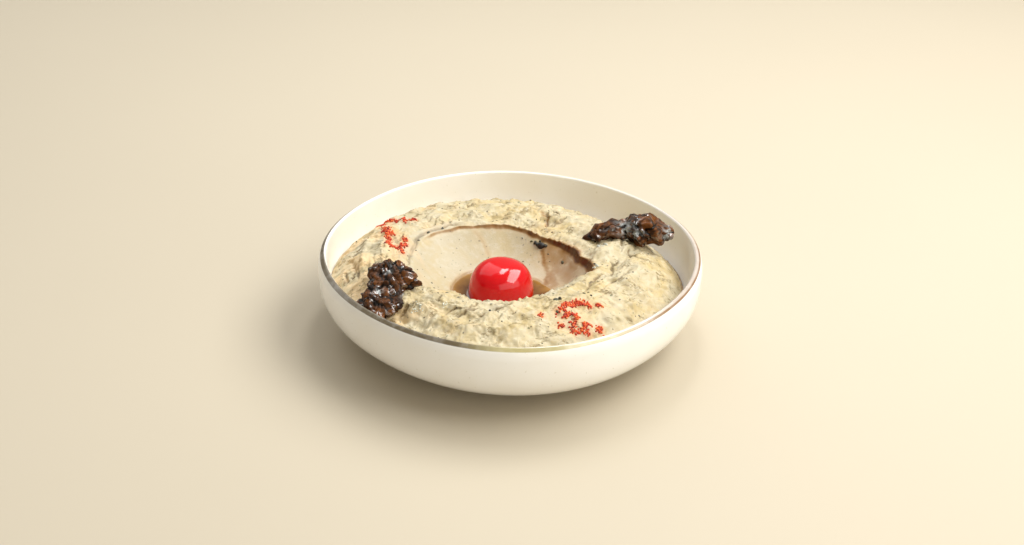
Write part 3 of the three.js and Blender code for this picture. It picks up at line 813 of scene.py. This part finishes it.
class Ray:
    """The dip's section along one direction from the well's middle."""

    def __init__(self, angle):
        self.angle = angle
        self.a = radians(angle)
        self.way = Vector((cos(self.a), sin(self.a), 0))
        self.shoulder = self.at(LIP_DISTANCE)
        ragged = sum(height * noise.noise(self.way * frequency) for frequency, height in EDGE_WOBBLE)
        sway = EDGE_SWAY[1] * noise.noise(self.way * EDGE_SWAY[0])
        self.edge = self.shoulder + sway + ragged * self.at(EDGE_RAGGED)
        self.texture = self.at(TEXTURE)
        self.lip = self.edge + LIP.run
        self.wall = wall_distance(angle)
        self.step = self.at(STEP_DEPTH)
        self.crest = self.at(CREST_DROP)
        self.contact = self.at(CONTACT_DROP)
        self.ledge_end = self.at(LEDGE_DISTANCE)
        self.ledge = self.at(LEDGE_STRENGTH)
        self.line = self.at(LINE_DISTANCE)
        self.line_strength = self.at(LINE_STRENGTH)

    def at(self, stops):
        return around(stops, self.angle)

    def point(self, distance):
        return well_point(self.angle, distance)

    def well_height(self, distance):
        near = min(1, distance / WELL.middle_reach)
        shoulder = mix(WELL.middle_width, self.shoulder, near)
        forward = WELL.forward * (1 - distance / self.shoulder)
        reach = hypot(distance * cos(self.a), distance * sin(self.a) + forward)
        share = min(1, reach / shoulder) ** WELL.power
        return RIM - mix(WELL.floor_drop, LIP.drop + self.step * near, share)

    def bench(self, distance):
        """1 on the smooth ledge at the left, 0 elsewhere."""
        return self.ledge * min(1, max(0, (self.ledge_end - distance) / LEDGE_FADE))

    def ring_height(self, distance):
        share = min(1, max(0, (distance - self.lip) / (self.wall - self.lip)))
        crest_share = RING.crest_share
        if share < crest_share:
            drop = mix(LIP.drop, self.crest, sin(pi / 2 * share / crest_share))
        else:
            falling = ((share - crest_share) / (1 - crest_share)) ** RING.fall_power
            drop = mix(self.crest, self.contact, falling)
        x, y = self.point(distance)
        reach = min(1, 0.35 + share * 6, (1 - share) * 4)
        relief = ring_relief(x, y, self.angle, distance - self.lip) * mix(1, 0.3, self.bench(distance))
        return RIM - drop + relief * reach

    def height(self, distance):
        if distance <= self.edge:
            return self.well_height(distance)
        if distance >= self.lip:
            return self.ring_height(distance)
        share = (distance - self.edge) / LIP.run
        return mix(self.well_height(self.edge), self.ring_height(self.lip), smooth(0, 1, share))

    def under(self, share):
        """The paste's hidden side, just above the bowl's inner wall."""
        x, y = self.point(self.wall)
        radius, drop = inner_wall(mix(inner_share_at(self.contact), 1, share))
        reach = max(0, radius - UNDER_GAP) * roundness(bearing(x, y)) / hypot(x, y)
        if share == 1:
            reach = 0
        return placed(x * reach, y * reach, RIM - drop + UNDER_GAP)

    def stain(self, distance):
        """Ochre drifts on the ring, mostly at the far left."""
        x, y = self.point(distance)
        drift = wobble(x, y, 11, 7) + 0.5 * wobble(x, y, 4, 1)
        drift += smooth(-20, -66, x) * 0.4
        here = mix(0.25, 0.9, smooth(-15, -55, x))
        return here * smooth(0.1, 0.6, drift) * smooth(-12, 0, distance - self.edge)

    def flakes(self, x, y, distance):
        """Height and crease of the flaked folds at a spot."""
        sway = 0.9 * wobble(x, y, 15, 4.7) + 0.28 * wobble(x, y, 4, 1.3)
        along = x * cos(SLANT_TURN) + y * sin(SLANT_TURN)
        across = y * cos(SLANT_TURN) - x * sin(SLANT_TURN)
        slope = smooth(0.3, 0.6, (distance - self.lip) / (self.wall - self.lip))
        flute = self.at(FLUTES) * slope
        slant = (1 - flute) * self.at(SLANT)
        run = self.way * (RING_MIDDLE / FLAKES.run)
        ways = (
            (slant, across / FLAKES.spacing, Vector((along / FLAKES.run, across / 4, 3))),
            (flute, self.angle / 360 * FLUTE_COUNT, Vector((x / 6, y / 6, 8))),
            (1 - slant - flute, distance / FLAKES.spacing, run + Vector((0, 0, distance / 4))),
        )
        relief = 0
        crease = 0
        for weight, phase, spot in ways:
            if weight > 0.02:
                turn = (phase + FLAKES.sway * sway) % 1
                start = 1 - FLAKES.drop
                rise = turn / start if turn < start else (1 - turn) / FLAKES.drop
                there = weight * smooth(-0.22, 0.3, noise.noise(spot))
                relief += there * (rise - FLAKES.level)
                crease += there * smooth(start - 0.03, start + 0.05, turn) * smooth(1, 0.97, turn)
        return relief, crease

    def crumb(self, distance):
        """Torn, flaked relief in millimetres, how much painted shade the spot gets in its creases,
        tears, chips, groove line and cracks, and how rough it is.
        """
        x, y = self.point(distance)
        flakes, crease = self.flakes(x, y, distance)
        texture = self.texture * mix(0.4, 1.3, smooth(-0.25, 0.3, wobble(x, y, 10, 9)))
        tear = min(1, 2.6 * abs(noise.noise(Vector((x, y, 2 * flakes)) / TEARS.length)))
        chip = min(1, 2.6 * abs(noise.noise(Vector((x, y, 3 * tear)) / CHIPS.length)))
        relief = FLAKES.height * flakes
        relief += GRAIN.height * noise.noise(Vector((x, y, 0)) / GRAIN.length)
        relief += texture * TEARS.height * (0.55 - tear ** 0.7)
        relief += texture * CHIPS.height * (chip ** 0.7 - 0.5)
        # How much painted shade falls here: in the fold drops, tears and chips, less in the smooth well,
        # plus the groove line and the cracks.
        hollow = 0.75 * crease + texture * (0.5 * smooth(0.8, 1, tear) + 0.25 * smooth(0.12, 0, chip))
        inside = smooth(self.lip + 0.3, self.lip - 0.6, distance)
        inside = max(inside, self.bench(distance))
        close = smooth(self.wall, self.wall - 2, distance)
        line = self.line_strength * bell(distance - self.line - 0.5 * tear)
        share = mix(1, WELL_ROUGHNESS, inside) * close
        peak = noise.noise(Vector((x, y, 6)) / TEETH.length)
        near = bell((distance - self.lip - 0.4) / TEETH.width)
        teeth = self.at(TEETH_AT) * TEETH.height * max(0, peak) * near
        warped = 0.8 * wobble(x, y, 2.5, 3)
        crack_and_shade = 0
        # A crack is cut as a groove and is also darkened with painted shade.
        if distance > self.lip:
            crack_and_shade = nearness(x + warped, y - warped, CRACKS, CRACK.width)
        height = relief * share + teeth - 0.8 * line - CRACK.depth * crack_and_shade
        return height, min(1, hollow * mix(1, 0.1, inside) + line) + crack_and_shade, 1 - inside

    def oil(self, distance, height):
        """How much oil lies here, from 0 to 1; in the crease under the lip this also stands for painted
        shadow under the overhanging lip.
        """
        x, y = self.point(distance)
        patch = wobble(x, y, 4.5, 2) * 0.5 + wobble(x, y, 1.8, 5) * 0.2
        # The crease under the lip is darkened partly by oil and partly by painted shadow of the
        # overhanging lip.
        width = self.at(CREASE_WIDTH) * (1 + 0.8 * patch)
        away = (distance - self.edge - 0.7) / width
        crease = mix(bell(away), bell(away / 2.8), 0.3)
        amount = self.at(CREASE_OIL_AND_SHADOW) * crease * (1 + 0.6 * patch)
        for line, width, strength in FILMS:
            if distance < self.edge + 0.4 or line is FILMS[-1][0]:
                film = nearness(x + 2 * patch, y - patch, (line,), width)
                amount = max(amount, strength * film * (1 + 0.5 * patch))
        pool = smooth(OIL_LEVEL + 0.8, OIL_LEVEL, height)
        return min(1, max(0, amount, 0.5 * pool))


def dip_height_at(x, y):
    """Height of the paste's surface, relief included, at a place seen from above."""
    ray = Ray(bearing(x - WELL.x, y - WELL.y))
    distance = hypot(x - WELL.x, y - WELL.y)
    return ray.height(distance) + ray.crumb(distance)[0]


# ---- sizes and colours
def colour_property(name, description, colour):
    return bpy.props.FloatVectorProperty(
        name=name, description=description, default=colour, min=0, max=1, size=3, subtype="COLOR",
    )


def number_property(name, description, default, **options):
    return bpy.props.FloatProperty(name=name, description=description, default=default, **options)


class BowlSettings(bpy.types.PropertyGroup):
    lip_width: number_property(
        "Line width", "Width of the brown line on the lip's outer bevel", 1.9 * MM, min=0, unit="LENGTH")
    glaze: colour_property("Glaze", "White of the glaze", (0.9, 0.88, 0.83))
    glaze_shade: colour_property("Glaze shade", "Where the glaze is thinner", (0.88, 0.85, 0.78))
    # The line's three colours are its brown with a painted reflection: dark at the left, light in front,
    # coppery at the right.
    line_left_dark_reflection: colour_property("Line, left", "Brown line at the left", srgb(96, 84, 62))
    line_middle_light_reflection: colour_property("Line, middle", "Brown line at the front", srgb(172, 160, 112))
    line_right_copper_reflection: colour_property("Line, right", "Brown line at the right", srgb(134, 100, 70))


class DipSettings(bpy.types.PropertyGroup):
    cream: colour_property("Cream", "Main colour of the paste", srgb(191, 179, 148))
    cream_warm: colour_property("Warm cream", "Warmer drifts in the paste", srgb(188, 168, 121))
    cream_pale: colour_property("Pale cream", "Fine pale mottling", srgb(206, 197, 173))
    cream_well: colour_property("Well", "Greyer cream in the smooth well", srgb(166, 162, 150))
    # Painted shade colours: in the creases and grooves, in the cracks, and along the thin torn lines.
    hollow: colour_property("Hollows", "Creases between the folds", srgb(112, 92, 56))
    crack_and_shade: colour_property("Cracks", "Deep cracks in the ring", srgb(70, 52, 26))
    tear_line_shade: colour_property("Veins", "Fine lines where the paste is torn", srgb(128, 106, 62))
    stain: colour_property("Stain", "Ochre drifts where oil has soaked in", srgb(224, 192, 144))
    spice: colour_property("Spice", "Orange tint round the paprika", srgb(214, 140, 84))
    # In the crease under the lip these oil colours also carry painted shadow.
    oil_light: colour_property("Thin oil", "Where oil lies thin", srgb(150, 108, 54))
    oil_dark: colour_property("Deep oil", "Where oil gathers", srgb(90, 52, 22))
    fleck_dark: colour_property("Dark flecks", "Charred bits", srgb(38, 32, 24))
    fleck_grey: colour_property("Grey flecks", "Small grey bits", srgb(120, 118, 104))
    fleck_green: colour_property("Green flecks", "Herb bits", srgb(84, 88, 48))


class ToppingSettings(bpy.types.PropertyGroup):
    tomato: colour_property("Tomato", "Skin of the tomato", srgb(200, 8, 17))
    tomato_light: colour_property("Tomato, light", "Paler streaks in the skin", srgb(204, 20, 20))
    walnut: colour_property("Walnut", "Glazed walnut", srgb(40, 22, 10))
    walnut_light: colour_property("Walnut, light", "Red-brown crags", srgb(112, 66, 28))
    # Painted highlight in pale patches, and painted shade in the deep folds.
    walnut_painted_glint: colour_property("Walnut, frost", "Pale sticky patches", srgb(178, 182, 180))
    walnut_painted_shade: colour_property("Walnut, dark", "Deep folds", srgb(7, 4, 2))
    oil_light: colour_property("Thin oil", "Oil at the pool's shore", srgb(152, 110, 48))
    oil_dark: colour_property("Deep oil", "Oil beside the tomato", srgb(98, 58, 16))
    seed: bpy.props.IntProperty(
        name="Seed", description="Which scatter of grains and flecks is made", default=7, min=0,
    )


class StageSettings(bpy.types.PropertyGroup):
    floor: colour_property("Floor", "Pale floor", (0.54, 0.475, 0.365))
    floor_shade: colour_property("Floor shade", "Soft drifts in the floor", (0.5, 0.44, 0.335))
    camera_height: number_property(
        "Camera elevation", "Angle of the view above the horizon", radians(27.93), subtype="ANGLE")
    camera_distance: number_property(
        "Camera distance", "From the middle of the rim", 0.62084, min=0.1, unit="LENGTH")
    camera_roll: number_property(
        "Camera roll", "How far the picture leans to the right", radians(1.36), subtype="ANGLE")
    key_power: number_property("Key light", "Power of the soft light at the right", 11.6, min=0)
    top_power: number_property("Top light", "Power of the small light overhead", 1.9, min=0)
    front_power: number_property("Front light", "Power of the wide light in front", 6.6, min=0)
    left_power: number_property(
        "Left light", "Power of the soft light high at the left", 3.6, min=0)
    fill: number_property("Fill", "Strength of the warm light from all round", 0.34, min=0)
    fill_colour: colour_property("Fill colour", "Warm light from all round", (1, 0.94, 0.84))


# ---- operators
class DISH_OT_bowl(bpy.types.Operator):
    """Make the glazed bowl with its lip line and foot ring"""

    bl_idname = "dish.bowl"
    bl_label = "Bowl"

    def execute(self, context):
        settings = context.scene.bowl_settings
        profile = bowl_profile(settings.lip_width / MM)

        def place(row, turn):
            radius, height, share = profile[row]
            a = turn * 2 * pi
            spot = Vector((cos(a), sin(a), height / THROWN.rise)) * THROWN.turns
            reach = radius * roundness(turn * 360)
            reach += THROWN.height * noise.noise(spot) * min(1, radius / THROWN.radius)
            half = around(LINE_HALF_WIDTH, turn * 360)
            away = abs(share - around(LINE_MIDDLE, turn * 360))
            line = 0
            if share:
                line = max(smooth(half + 0.12, half - 0.02, away), around(LINE_TINT, turn * 360))
            return placed(reach * cos(a), reach * sin(a), height), line

        mesh = wrapped_grid(len(profile), BOWL_SEGMENTS, place, "band")
        finished(mesh, "bowl_glazed", glaze_finish(settings), "bowl")
        return {"FINISHED"}


class DISH_OT_dip(bpy.types.Operator):
    """Make the paste with its folds, well, oil stains, painted shade and relief"""

    bl_idname = "dish.dip"
    bl_label = "Dip"

    def execute(self, context):
        rows = [("well", (i / WELL_RINGS) ** 0.85) for i in range(WELL_RINGS + 1)]
        for kind, count in OUTER_RINGS.items():
            rows += [(kind, i / count) for i in range(1, count + 1)]
        rays = [Ray(step * 360 / DIP_SEGMENTS) for step in range(DIP_SEGMENTS)]

        def place(row, turn):
            kind, share = rows[row]
            ray = rays[round(turn * DIP_SEGMENTS)]
            if kind == "under":
                return (ray.under(share), 0, 0, 0, 0, 0, 0)
            distance = {
                "well": ray.edge * share,
                "step": ray.edge + LIP.run * share,
                "slope": mix(ray.lip, ray.wall, share),
            }[kind]
            height = ray.height(distance)
            relief, hollow, rough = ray.crumb(distance)
            x, y = ray.point(distance)
            spice = nearness(x, y, PAPRIKA_TRAILS, SPICE_REACH)
            tints = ray.oil(distance, height), ray.stain(distance), spice
            return placed(x, y, height), relief, hollow, rough, *tints

        layers = ("relief", "hollow", "rough", "oil", "stain", "spice")
        mesh = wrapped_grid(len(rows), DIP_SEGMENTS, place, *layers)
        relief = mesh.verts.layers.float["relief"]
        mesh.normal_update()
        for vert in mesh.verts:
            vert.co += vert.normal * vert[relief] * MM
        finished(mesh, "dip_paste", dip_finish(context.scene.dip_settings), "dip")
        return {"FINISHED"}


class DISH_OT_tomato(bpy.types.Operator):
    """Make the half tomato, cut side down"""

    bl_idname = "dish.tomato"
    bl_label = "Tomato"

    def execute(self, context):
        radius = TOMATO.radius
        # (radius, height): the cut face, its rounded edge and the skin
        rows = [(radius * share, 0) for share in (0, 0.3, 0.6, 0.85, 0.93)]
        rows += [(radius - 0.5, 0.08), (radius - 0.1, 0.4)]
        for step in range(TOMATO_STEPS + 1):
            angle = step / TOMATO_STEPS * pi / 2
            across = radius * max(0, cos(angle)) ** (2 / TOMATO.power)
            up = 0.8 + (TOMATO.height - 0.8) * sin(angle) ** (2 / TOMATO.power)
            rows.append((across if step < TOMATO_STEPS else 0, up))

        def place(row, turn):
            reach, up = rows[row]
            a = turn * 2 * pi
            reach *= 1 + 0.006 * sin(3 * a + 1) + 0.008 * sin(2 * a)
            x = TOMATO.x + reach * cos(a)
            y = TOMATO.y + reach * sin(a)
            return (placed(x, y, RIM - TOMATO.drop + up),)

        mesh = wrapped_grid(len(rows), TOMATO_SEGMENTS, place)
        material = tomato_finish(context.scene.topping_settings)
        finished(mesh, "tomato_half", material, "tomato")
        return {"FINISHED"}


class DISH_OT_oil(bpy.types.Operator):
    """Make the pool of oil round the tomato"""

    bl_idname = "dish.oil"
    bl_label = "Oil pool"

    def execute(self, context):
        shares = [i / OIL_RINGS for i in range(OIL_RINGS + 1)]
        rows = [("top", share) for share in shares] + [("under", share) for share in reversed(shares)]
        rows.append(rows[0])  # closes the ring
        inner = TOMATO.radius - OIL.inset
        shores = [self.shore(step * 360 / OIL_SEGMENTS) for step in range(OIL_SEGMENTS)]

        def place(row, turn):
            kind, share = rows[row]
            a = turn * 2 * pi
            inner_x = TOMATO.x + inner * cos(a)
            inner_y = TOMATO.y + inner * sin(a)
            outer_x, outer_y = well_point(turn * 360, shores[round(turn * OIL_SEGMENTS)])
            rise = OIL.rise * exp(-share * OIL.fall)
            height = OIL_LEVEL + rise - OIL.thin * smooth(0.8, 1, share)
            if kind == "under":
                height = OIL_LEVEL - mix(OIL.depth, OIL.shore_depth, share)
            x = mix(inner_x, outer_x, share)
            y = mix(inner_y, outer_y, share)
            return placed(x, y, height), (1 - share) ** 0.7

        mesh = wrapped_grid(len(rows), OIL_SEGMENTS, place, "depth")
        finished(mesh, "oil_pool_gold", oil_finish(context.scene.topping_settings), "oil_pool")
        return {"FINISHED"}

    def shore(self, angle):
        """How far the oil reaches up the well's slope."""
        ray = Ray(angle)
        distance = OIL.nearest
        while ray.well_height(distance) + ray.crumb(distance)[0] < OIL_LEVEL and distance < ray.edge:
            distance += 0.1
        return distance + OIL.past_shore


def fold(value):
    return 1 - 2 * abs(sin(value))


def nut_crag(x, y, z, turn):
    coarse = fold(pi * (x + 0.5 * z) / NUT_CRAGS.coarse + turn)
    coarse += fold(pi * (y - 0.6 * z) / NUT_CRAGS.coarse + 2 * turn)
    fine = fold(pi * (z + 0.7 * x) / NUT_CRAGS.fine + turn)
    fine *= fold(pi * (y - 0.4 * x) / NUT_CRAGS.fine)
    return 1 + NUT_CRAGS.coarse_depth * coarse / 2 + NUT_CRAGS.fine_depth * fine


def girth_at(girth, share):
    index = min(len(girth) - 1, max(1, bisect_right([stop[0] for stop in girth], share)))
    low = girth[index - 1]
    high = girth[index]
    part = (1 - cos(pi * (share - low[0]) / (high[0] - low[0]))) / 2
    return mix(low[1], high[1], part), mix(low[2], high[2], part)


def spine_point(spine, share):
    """A point of the Catmull-Rom curve through the spine."""
    points = [Vector(point) for point in spine]
    points = [2 * points[0] - points[1]] + points + [2 * points[-1] - points[-2]]
    place = min(len(spine) - 2, int(share * (len(spine) - 1)))
    t = share * (len(spine) - 1) - place
    a, b, c, d = points[place:place + 4]
    squared = (2 * a - 5 * b + 4 * c - d) * t ** 2
    cubed = (3 * b - a - 3 * c + d) * t ** 3
    return 0.5 * (2 * b + (c - a) * t + squared + cubed)


def crumple(spot, grain, turn, rough):
    """Relief of the folds along the grain and the blisters, and how much painted shade the spot gets in
    the folds.
    """
    shift = Vector((turn * 7, 3, 1))
    drawn = spot - 0.55 * grain * spot.dot(grain)
    large = min(1, 2.4 * abs(noise.noise(drawn / WRINKLES.large + shift)))
    small = min(1, 2.4 * abs(noise.noise(drawn / WRINKLES.small + shift * 2)))
    blister = noise.noise(spot / WRINKLES.blister + shift)
    fine = WRINKLES.shallow * (small ** 0.7 - 0.5) + WRINKLES.bulge * blister
    depth = WRINKLES.deep * (large ** 0.6 - 0.62) + rough * fine
    return depth, smooth(0.34, 0, large) * 0.8 + smooth(0.3, 0, small) * 0.5 * rough


def inside_wall(point):
    limit = inner_radius_at(point.z) * roundness(bearing(point.x, point.y)) - 0.6
    shrink = min(1, limit / hypot(point.x, point.y))
    return Vector((point.x * shrink, point.y * shrink, point.z))


class DISH_OT_walnuts(bpy.types.Operator):
    """Make the two glazed walnut pieces"""

    bl_idname = "dish.walnuts"
    bl_label = "Walnuts"

    def execute(self, context):
        material = walnut_finish(context.scene.topping_settings)
        for name, nut in WALNUTS.items():
            self.make(name, nut, material)
        return {"FINISHED"}

    def make(self, name, nut, material):
        spine = nut.spine
        top = Vector((0, 0, RIM))
        forward = (spine_point(spine, 1) - spine_point(spine, 0)).normalized()
        across = Vector((0, 0, 1)).cross(forward).normalized()
        up = forward.cross(across)
        grain = (forward + across * nut.skew).normalized()

        def place(row, turn):
            share = (1 - cos(pi * row / (NUT_ROWS - 1))) / 2
            half_width, half_height = girth_at(nut.girth, share)
            closing = sqrt(max(0, 1 - (2 * share - 1) ** 4))
            a = turn * 2 * pi
            reach = (across * half_width * cos(a) + up * half_height * sin(a)) * closing
            middle = spine_point(spine, share) + top
            out = reach.normalized()
            spot = middle + reach
            spot = middle + reach * nut_crag(*spot, nut.turn)
            depth, hollow = crumple(spot, grain, nut.turn, nut.rough)
            spot += out * depth * min(1, 3 * closing)
            if nut.cleft is not None:
                side = reach.dot(across) - nut.cleft
                far_end = smooth(0.6, 0.3, share)
                cleft = far_end * bell(side / CLEFT.width)
                spot = spot.lerp(spine_point(spine, CLEFT.towards) + top, CLEFT.depth * cleft)
                spot += forward * CLEFT.setback * smooth(0, 3, side) * far_end
                hollow += cleft
            frost = max(
                bell((spot - Vector((x, y, z + RIM))).length / size) for x, y, z, size in nut.frost)
            return placed(*inside_wall(spot)), hollow, frost

        mesh = wrapped_grid(NUT_ROWS, NUT_SEGMENTS, place, "hollow", "frost")
        finished(mesh, name + "_glazed", material, name)


def add_bit(mesh, pick_layer, spot, size, squash, shade, chance, sides=1):
    """One small lump, unevenly turned and flattened, half sunk at spot."""
    made = bmesh.ops.create_icosphere(mesh, subdivisions=sides, radius=size * MM)["verts"]
    turn = Matrix.Rotation(chance.uniform(0, 6), 4, (chance.random(), chance.random(), 0.4))
    stretch = Matrix.Diagonal((1, chance.uniform(0.6, 1), squash, 1))
    bmesh.ops.transform(mesh, matrix=Matrix.Translation(placed(*spot)) @ turn @ stretch, verts=made)
    for vert in made:
        vert[pick_layer] = shade


class DISH_OT_paprika(bpy.types.Operator):
    """Scatter clumps of paprika along their trails"""

    bl_idname = "dish.paprika"
    bl_label = "Paprika"

    def execute(self, context):
        chance = random.Random(context.scene.topping_settings.seed)
        mesh = bmesh.new()
        pick = mesh.verts.layers.float.new("pick")
        for points in PAPRIKA_TRAILS:
            lengths = [dist(a, b) for a, b in zip(points, points[1:])]
            count = PAPRIKA_GRAINS.least + round(sum(lengths) * PAPRIKA_GRAINS.per_mm)
            for _ in range(count):
                a, b = chance.choices(tuple(zip(points, points[1:])), lengths)[0]
                share = chance.random()
                x = mix(a[0], b[0], share) + chance.gauss(0, PAPRIKA_GRAINS.spread)
                y = mix(a[1], b[1], share) + chance.gauss(0, PAPRIKA_GRAINS.spread)
                size = chance.uniform(PAPRIKA_GRAINS.smallest, PAPRIKA_GRAINS.largest)
                spot = (x, y, dip_height_at(x, y) + PAPRIKA_GRAINS.lift * size)
                add_bit(mesh, pick, spot, size, FLATNESS.grain, chance.random(), chance)
        colours = (srgb(128, 22, 6), srgb(184, 44, 10), srgb(208, 72, 18), srgb(222, 122, 54))
        finished(mesh, "paprika_grains", grain_finish("paprika_red", colours, 0.6))
        return {"FINISHED"}


class DISH_OT_flecks(bpy.types.Operator):
    """Scatter dark herb and char bits through the paste"""

    bl_idname = "dish.flecks"
    bl_label = "Flecks"

    def execute(self, context):
        chance = random.Random(context.scene.topping_settings.seed + 1)
        mesh = bmesh.new()
        pick = mesh.verts.layers.float.new("pick")
        for _ in range(FLECKS.tried):
            angle = chance.uniform(0, 360)
            distance = chance.uniform(FLECKS.nearest, FLECKS.farthest)
            ray = Ray(angle)
            if distance > ray.wall - FLECKS.off_wall:
                continue
            x, y = ray.point(distance)
            size = min(FLECKS.largest, FLECKS.least + abs(chance.gauss(0, FLECKS.spread)))
            height = ray.height(distance) + ray.crumb(distance)[0]
            if height < OIL_LEVEL:
                continue
            if distance < ray.edge and chance.random() < FLECKS.spared:
                continue
            shade = mix(0.3 * (distance < ray.edge), 0.8, chance.random())
            add_bit(mesh, pick, (x, y, height), size, FLATNESS.fleck, shade, chance)
        for x, y, spread, count in PALE_CRUMBS:
            for _ in range(count):
                spot = (x + chance.gauss(0, spread), y + chance.gauss(0, spread))
                size = chance.uniform(CRUMBS.smallest, CRUMBS.largest)
                shade = chance.uniform(CRUMBS.darkest, 1)
                add_bit(mesh, pick, (*spot, dip_height_at(*spot)), size, FLATNESS.crumb, shade, chance)
        for x, y, size, shade in BITS:
            spot = (x, y, dip_height_at(x, y) + BIT_LIFT)
            add_bit(mesh, pick, spot, size, FLATNESS.bit, shade, chance, sides=2)
        colours = (
            srgb(24, 20, 16), srgb(52, 46, 34), srgb(84, 84, 58), srgb(130, 128, 110),
            srgb(222, 224, 208),
        )
        finished(mesh, "dip_flecks", grain_finish("herb_dark", colours, 0.45))
        return {"FINISHED"}


def soft_light(name, power, shape, colour, direction, distance):
    towards = Vector(direction)
    light = bpy.data.lights.new(name, "AREA")
    light.shape = "RECTANGLE"
    light.size, light.size_y = shape
    light.energy = power
    light.color = colour
    lamp = linked(name, light)
    middle = Vector((0, 0, RIM * MM))
    lamp.location = middle + towards.normalized() * distance
    lamp.rotation_euler = towards.to_track_quat("Z", "Y").to_euler()


class DISH_OT_stage(bpy.types.Operator):
    """Make the pale floor, the soft lights and the camera"""

    bl_idname = "dish.stage"
    bl_label = "Stage"

    def execute(self, context):
        settings = context.scene.stage_settings
        mesh = bmesh.new()
        bmesh.ops.create_grid(mesh, x_segments=2, y_segments=2, size=FLOOR_REACH)
        floor = solid(mesh, "floor", floor_finish(settings))

        for name, looks in LIGHTS.items():
            soft_light(name + "_light", getattr(settings, name + "_power"), *looks)
        world = bpy.data.worlds.new("soft_room")
        world.use_nodes = True
        background = world.node_tree.nodes["Background"]
        background.inputs["Color"].default_value = rgba(settings.fill_colour)
        background.inputs["Strength"].default_value = settings.fill
        context.scene.world = world
        self.camera(context, settings)
        context.scene.view_settings.view_transform = "Standard"
        return {"FINISHED"}

    def camera(self, context, settings):
        """A 50 mm lens at the photo's distance and angle, aimed at the middle of the rim."""
        lens = bpy.data.cameras.new("camera")
        for name, value in LENS.items():
            setattr(lens, name, value)
        camera = linked("camera", lens)
        height = settings.camera_height
        roll = settings.camera_roll
        back = Vector((0, -cos(height), sin(height)))
        right = Vector((1, 0, 0))
        up = Vector((0, sin(height), cos(height)))
        leaning_right = right * cos(roll) + up * sin(roll)
        leaning_up = up * cos(roll) - right * sin(roll)
        turn = Matrix((leaning_right, leaning_up, back)).transposed().to_4x4()
        middle = placed(0, 0, RIM)
        camera.matrix_world = Matrix.Translation(middle + back * settings.camera_distance) @ turn
        context.scene.camera = camera


class DISH_PT_panel(bpy.types.Panel):
    """The steps that make the dish, in order"""

    bl_label = "Dip Bowl"
    bl_idname = "DISH_PT_panel"
    bl_space_type = "VIEW_3D"
    bl_region_type = "UI"
    bl_category = "Dip Bowl"

    def draw(self, context):
        for operator in OPERATORS:
            self.layout.operator(operator.bl_idname)
        for settings in SETTINGS:
            group = getattr(context.scene, settings)
            for name in group.__annotations__:
                self.layout.prop(group, name)


OPERATORS = (
    DISH_OT_stage, DISH_OT_bowl, DISH_OT_dip, DISH_OT_tomato,
    DISH_OT_oil, DISH_OT_walnuts, DISH_OT_paprika, DISH_OT_flecks,
)
SETTINGS = {
    "bowl_settings": BowlSettings,
    "dip_settings": DipSettings,
    "topping_settings": ToppingSettings,
    "stage_settings": StageSettings,
}


def register():
    for group in SETTINGS.values():
        bpy.utils.register_class(group)
    for operator in OPERATORS:
        bpy.utils.register_class(operator)
    bpy.utils.register_class(DISH_PT_panel)
    for name, group in SETTINGS.items():
        setattr(bpy.types.Scene, name, bpy.props.PointerProperty(type=group))


def unregister():
    for name in SETTINGS:
        delattr(bpy.types.Scene, name)
    for kind in (DISH_PT_panel, *reversed(OPERATORS), *reversed(SETTINGS.values())):
        bpy.utils.unregister_class(kind)


def main():
    register()
    for step in ("stage", "bowl", "dip", "tomato", "oil", "walnuts", "paprika", "flecks"):
        getattr(bpy.ops.dish, step)()
    bpy.context.view_layer.update()


if __name__ == "__main__":
    main()
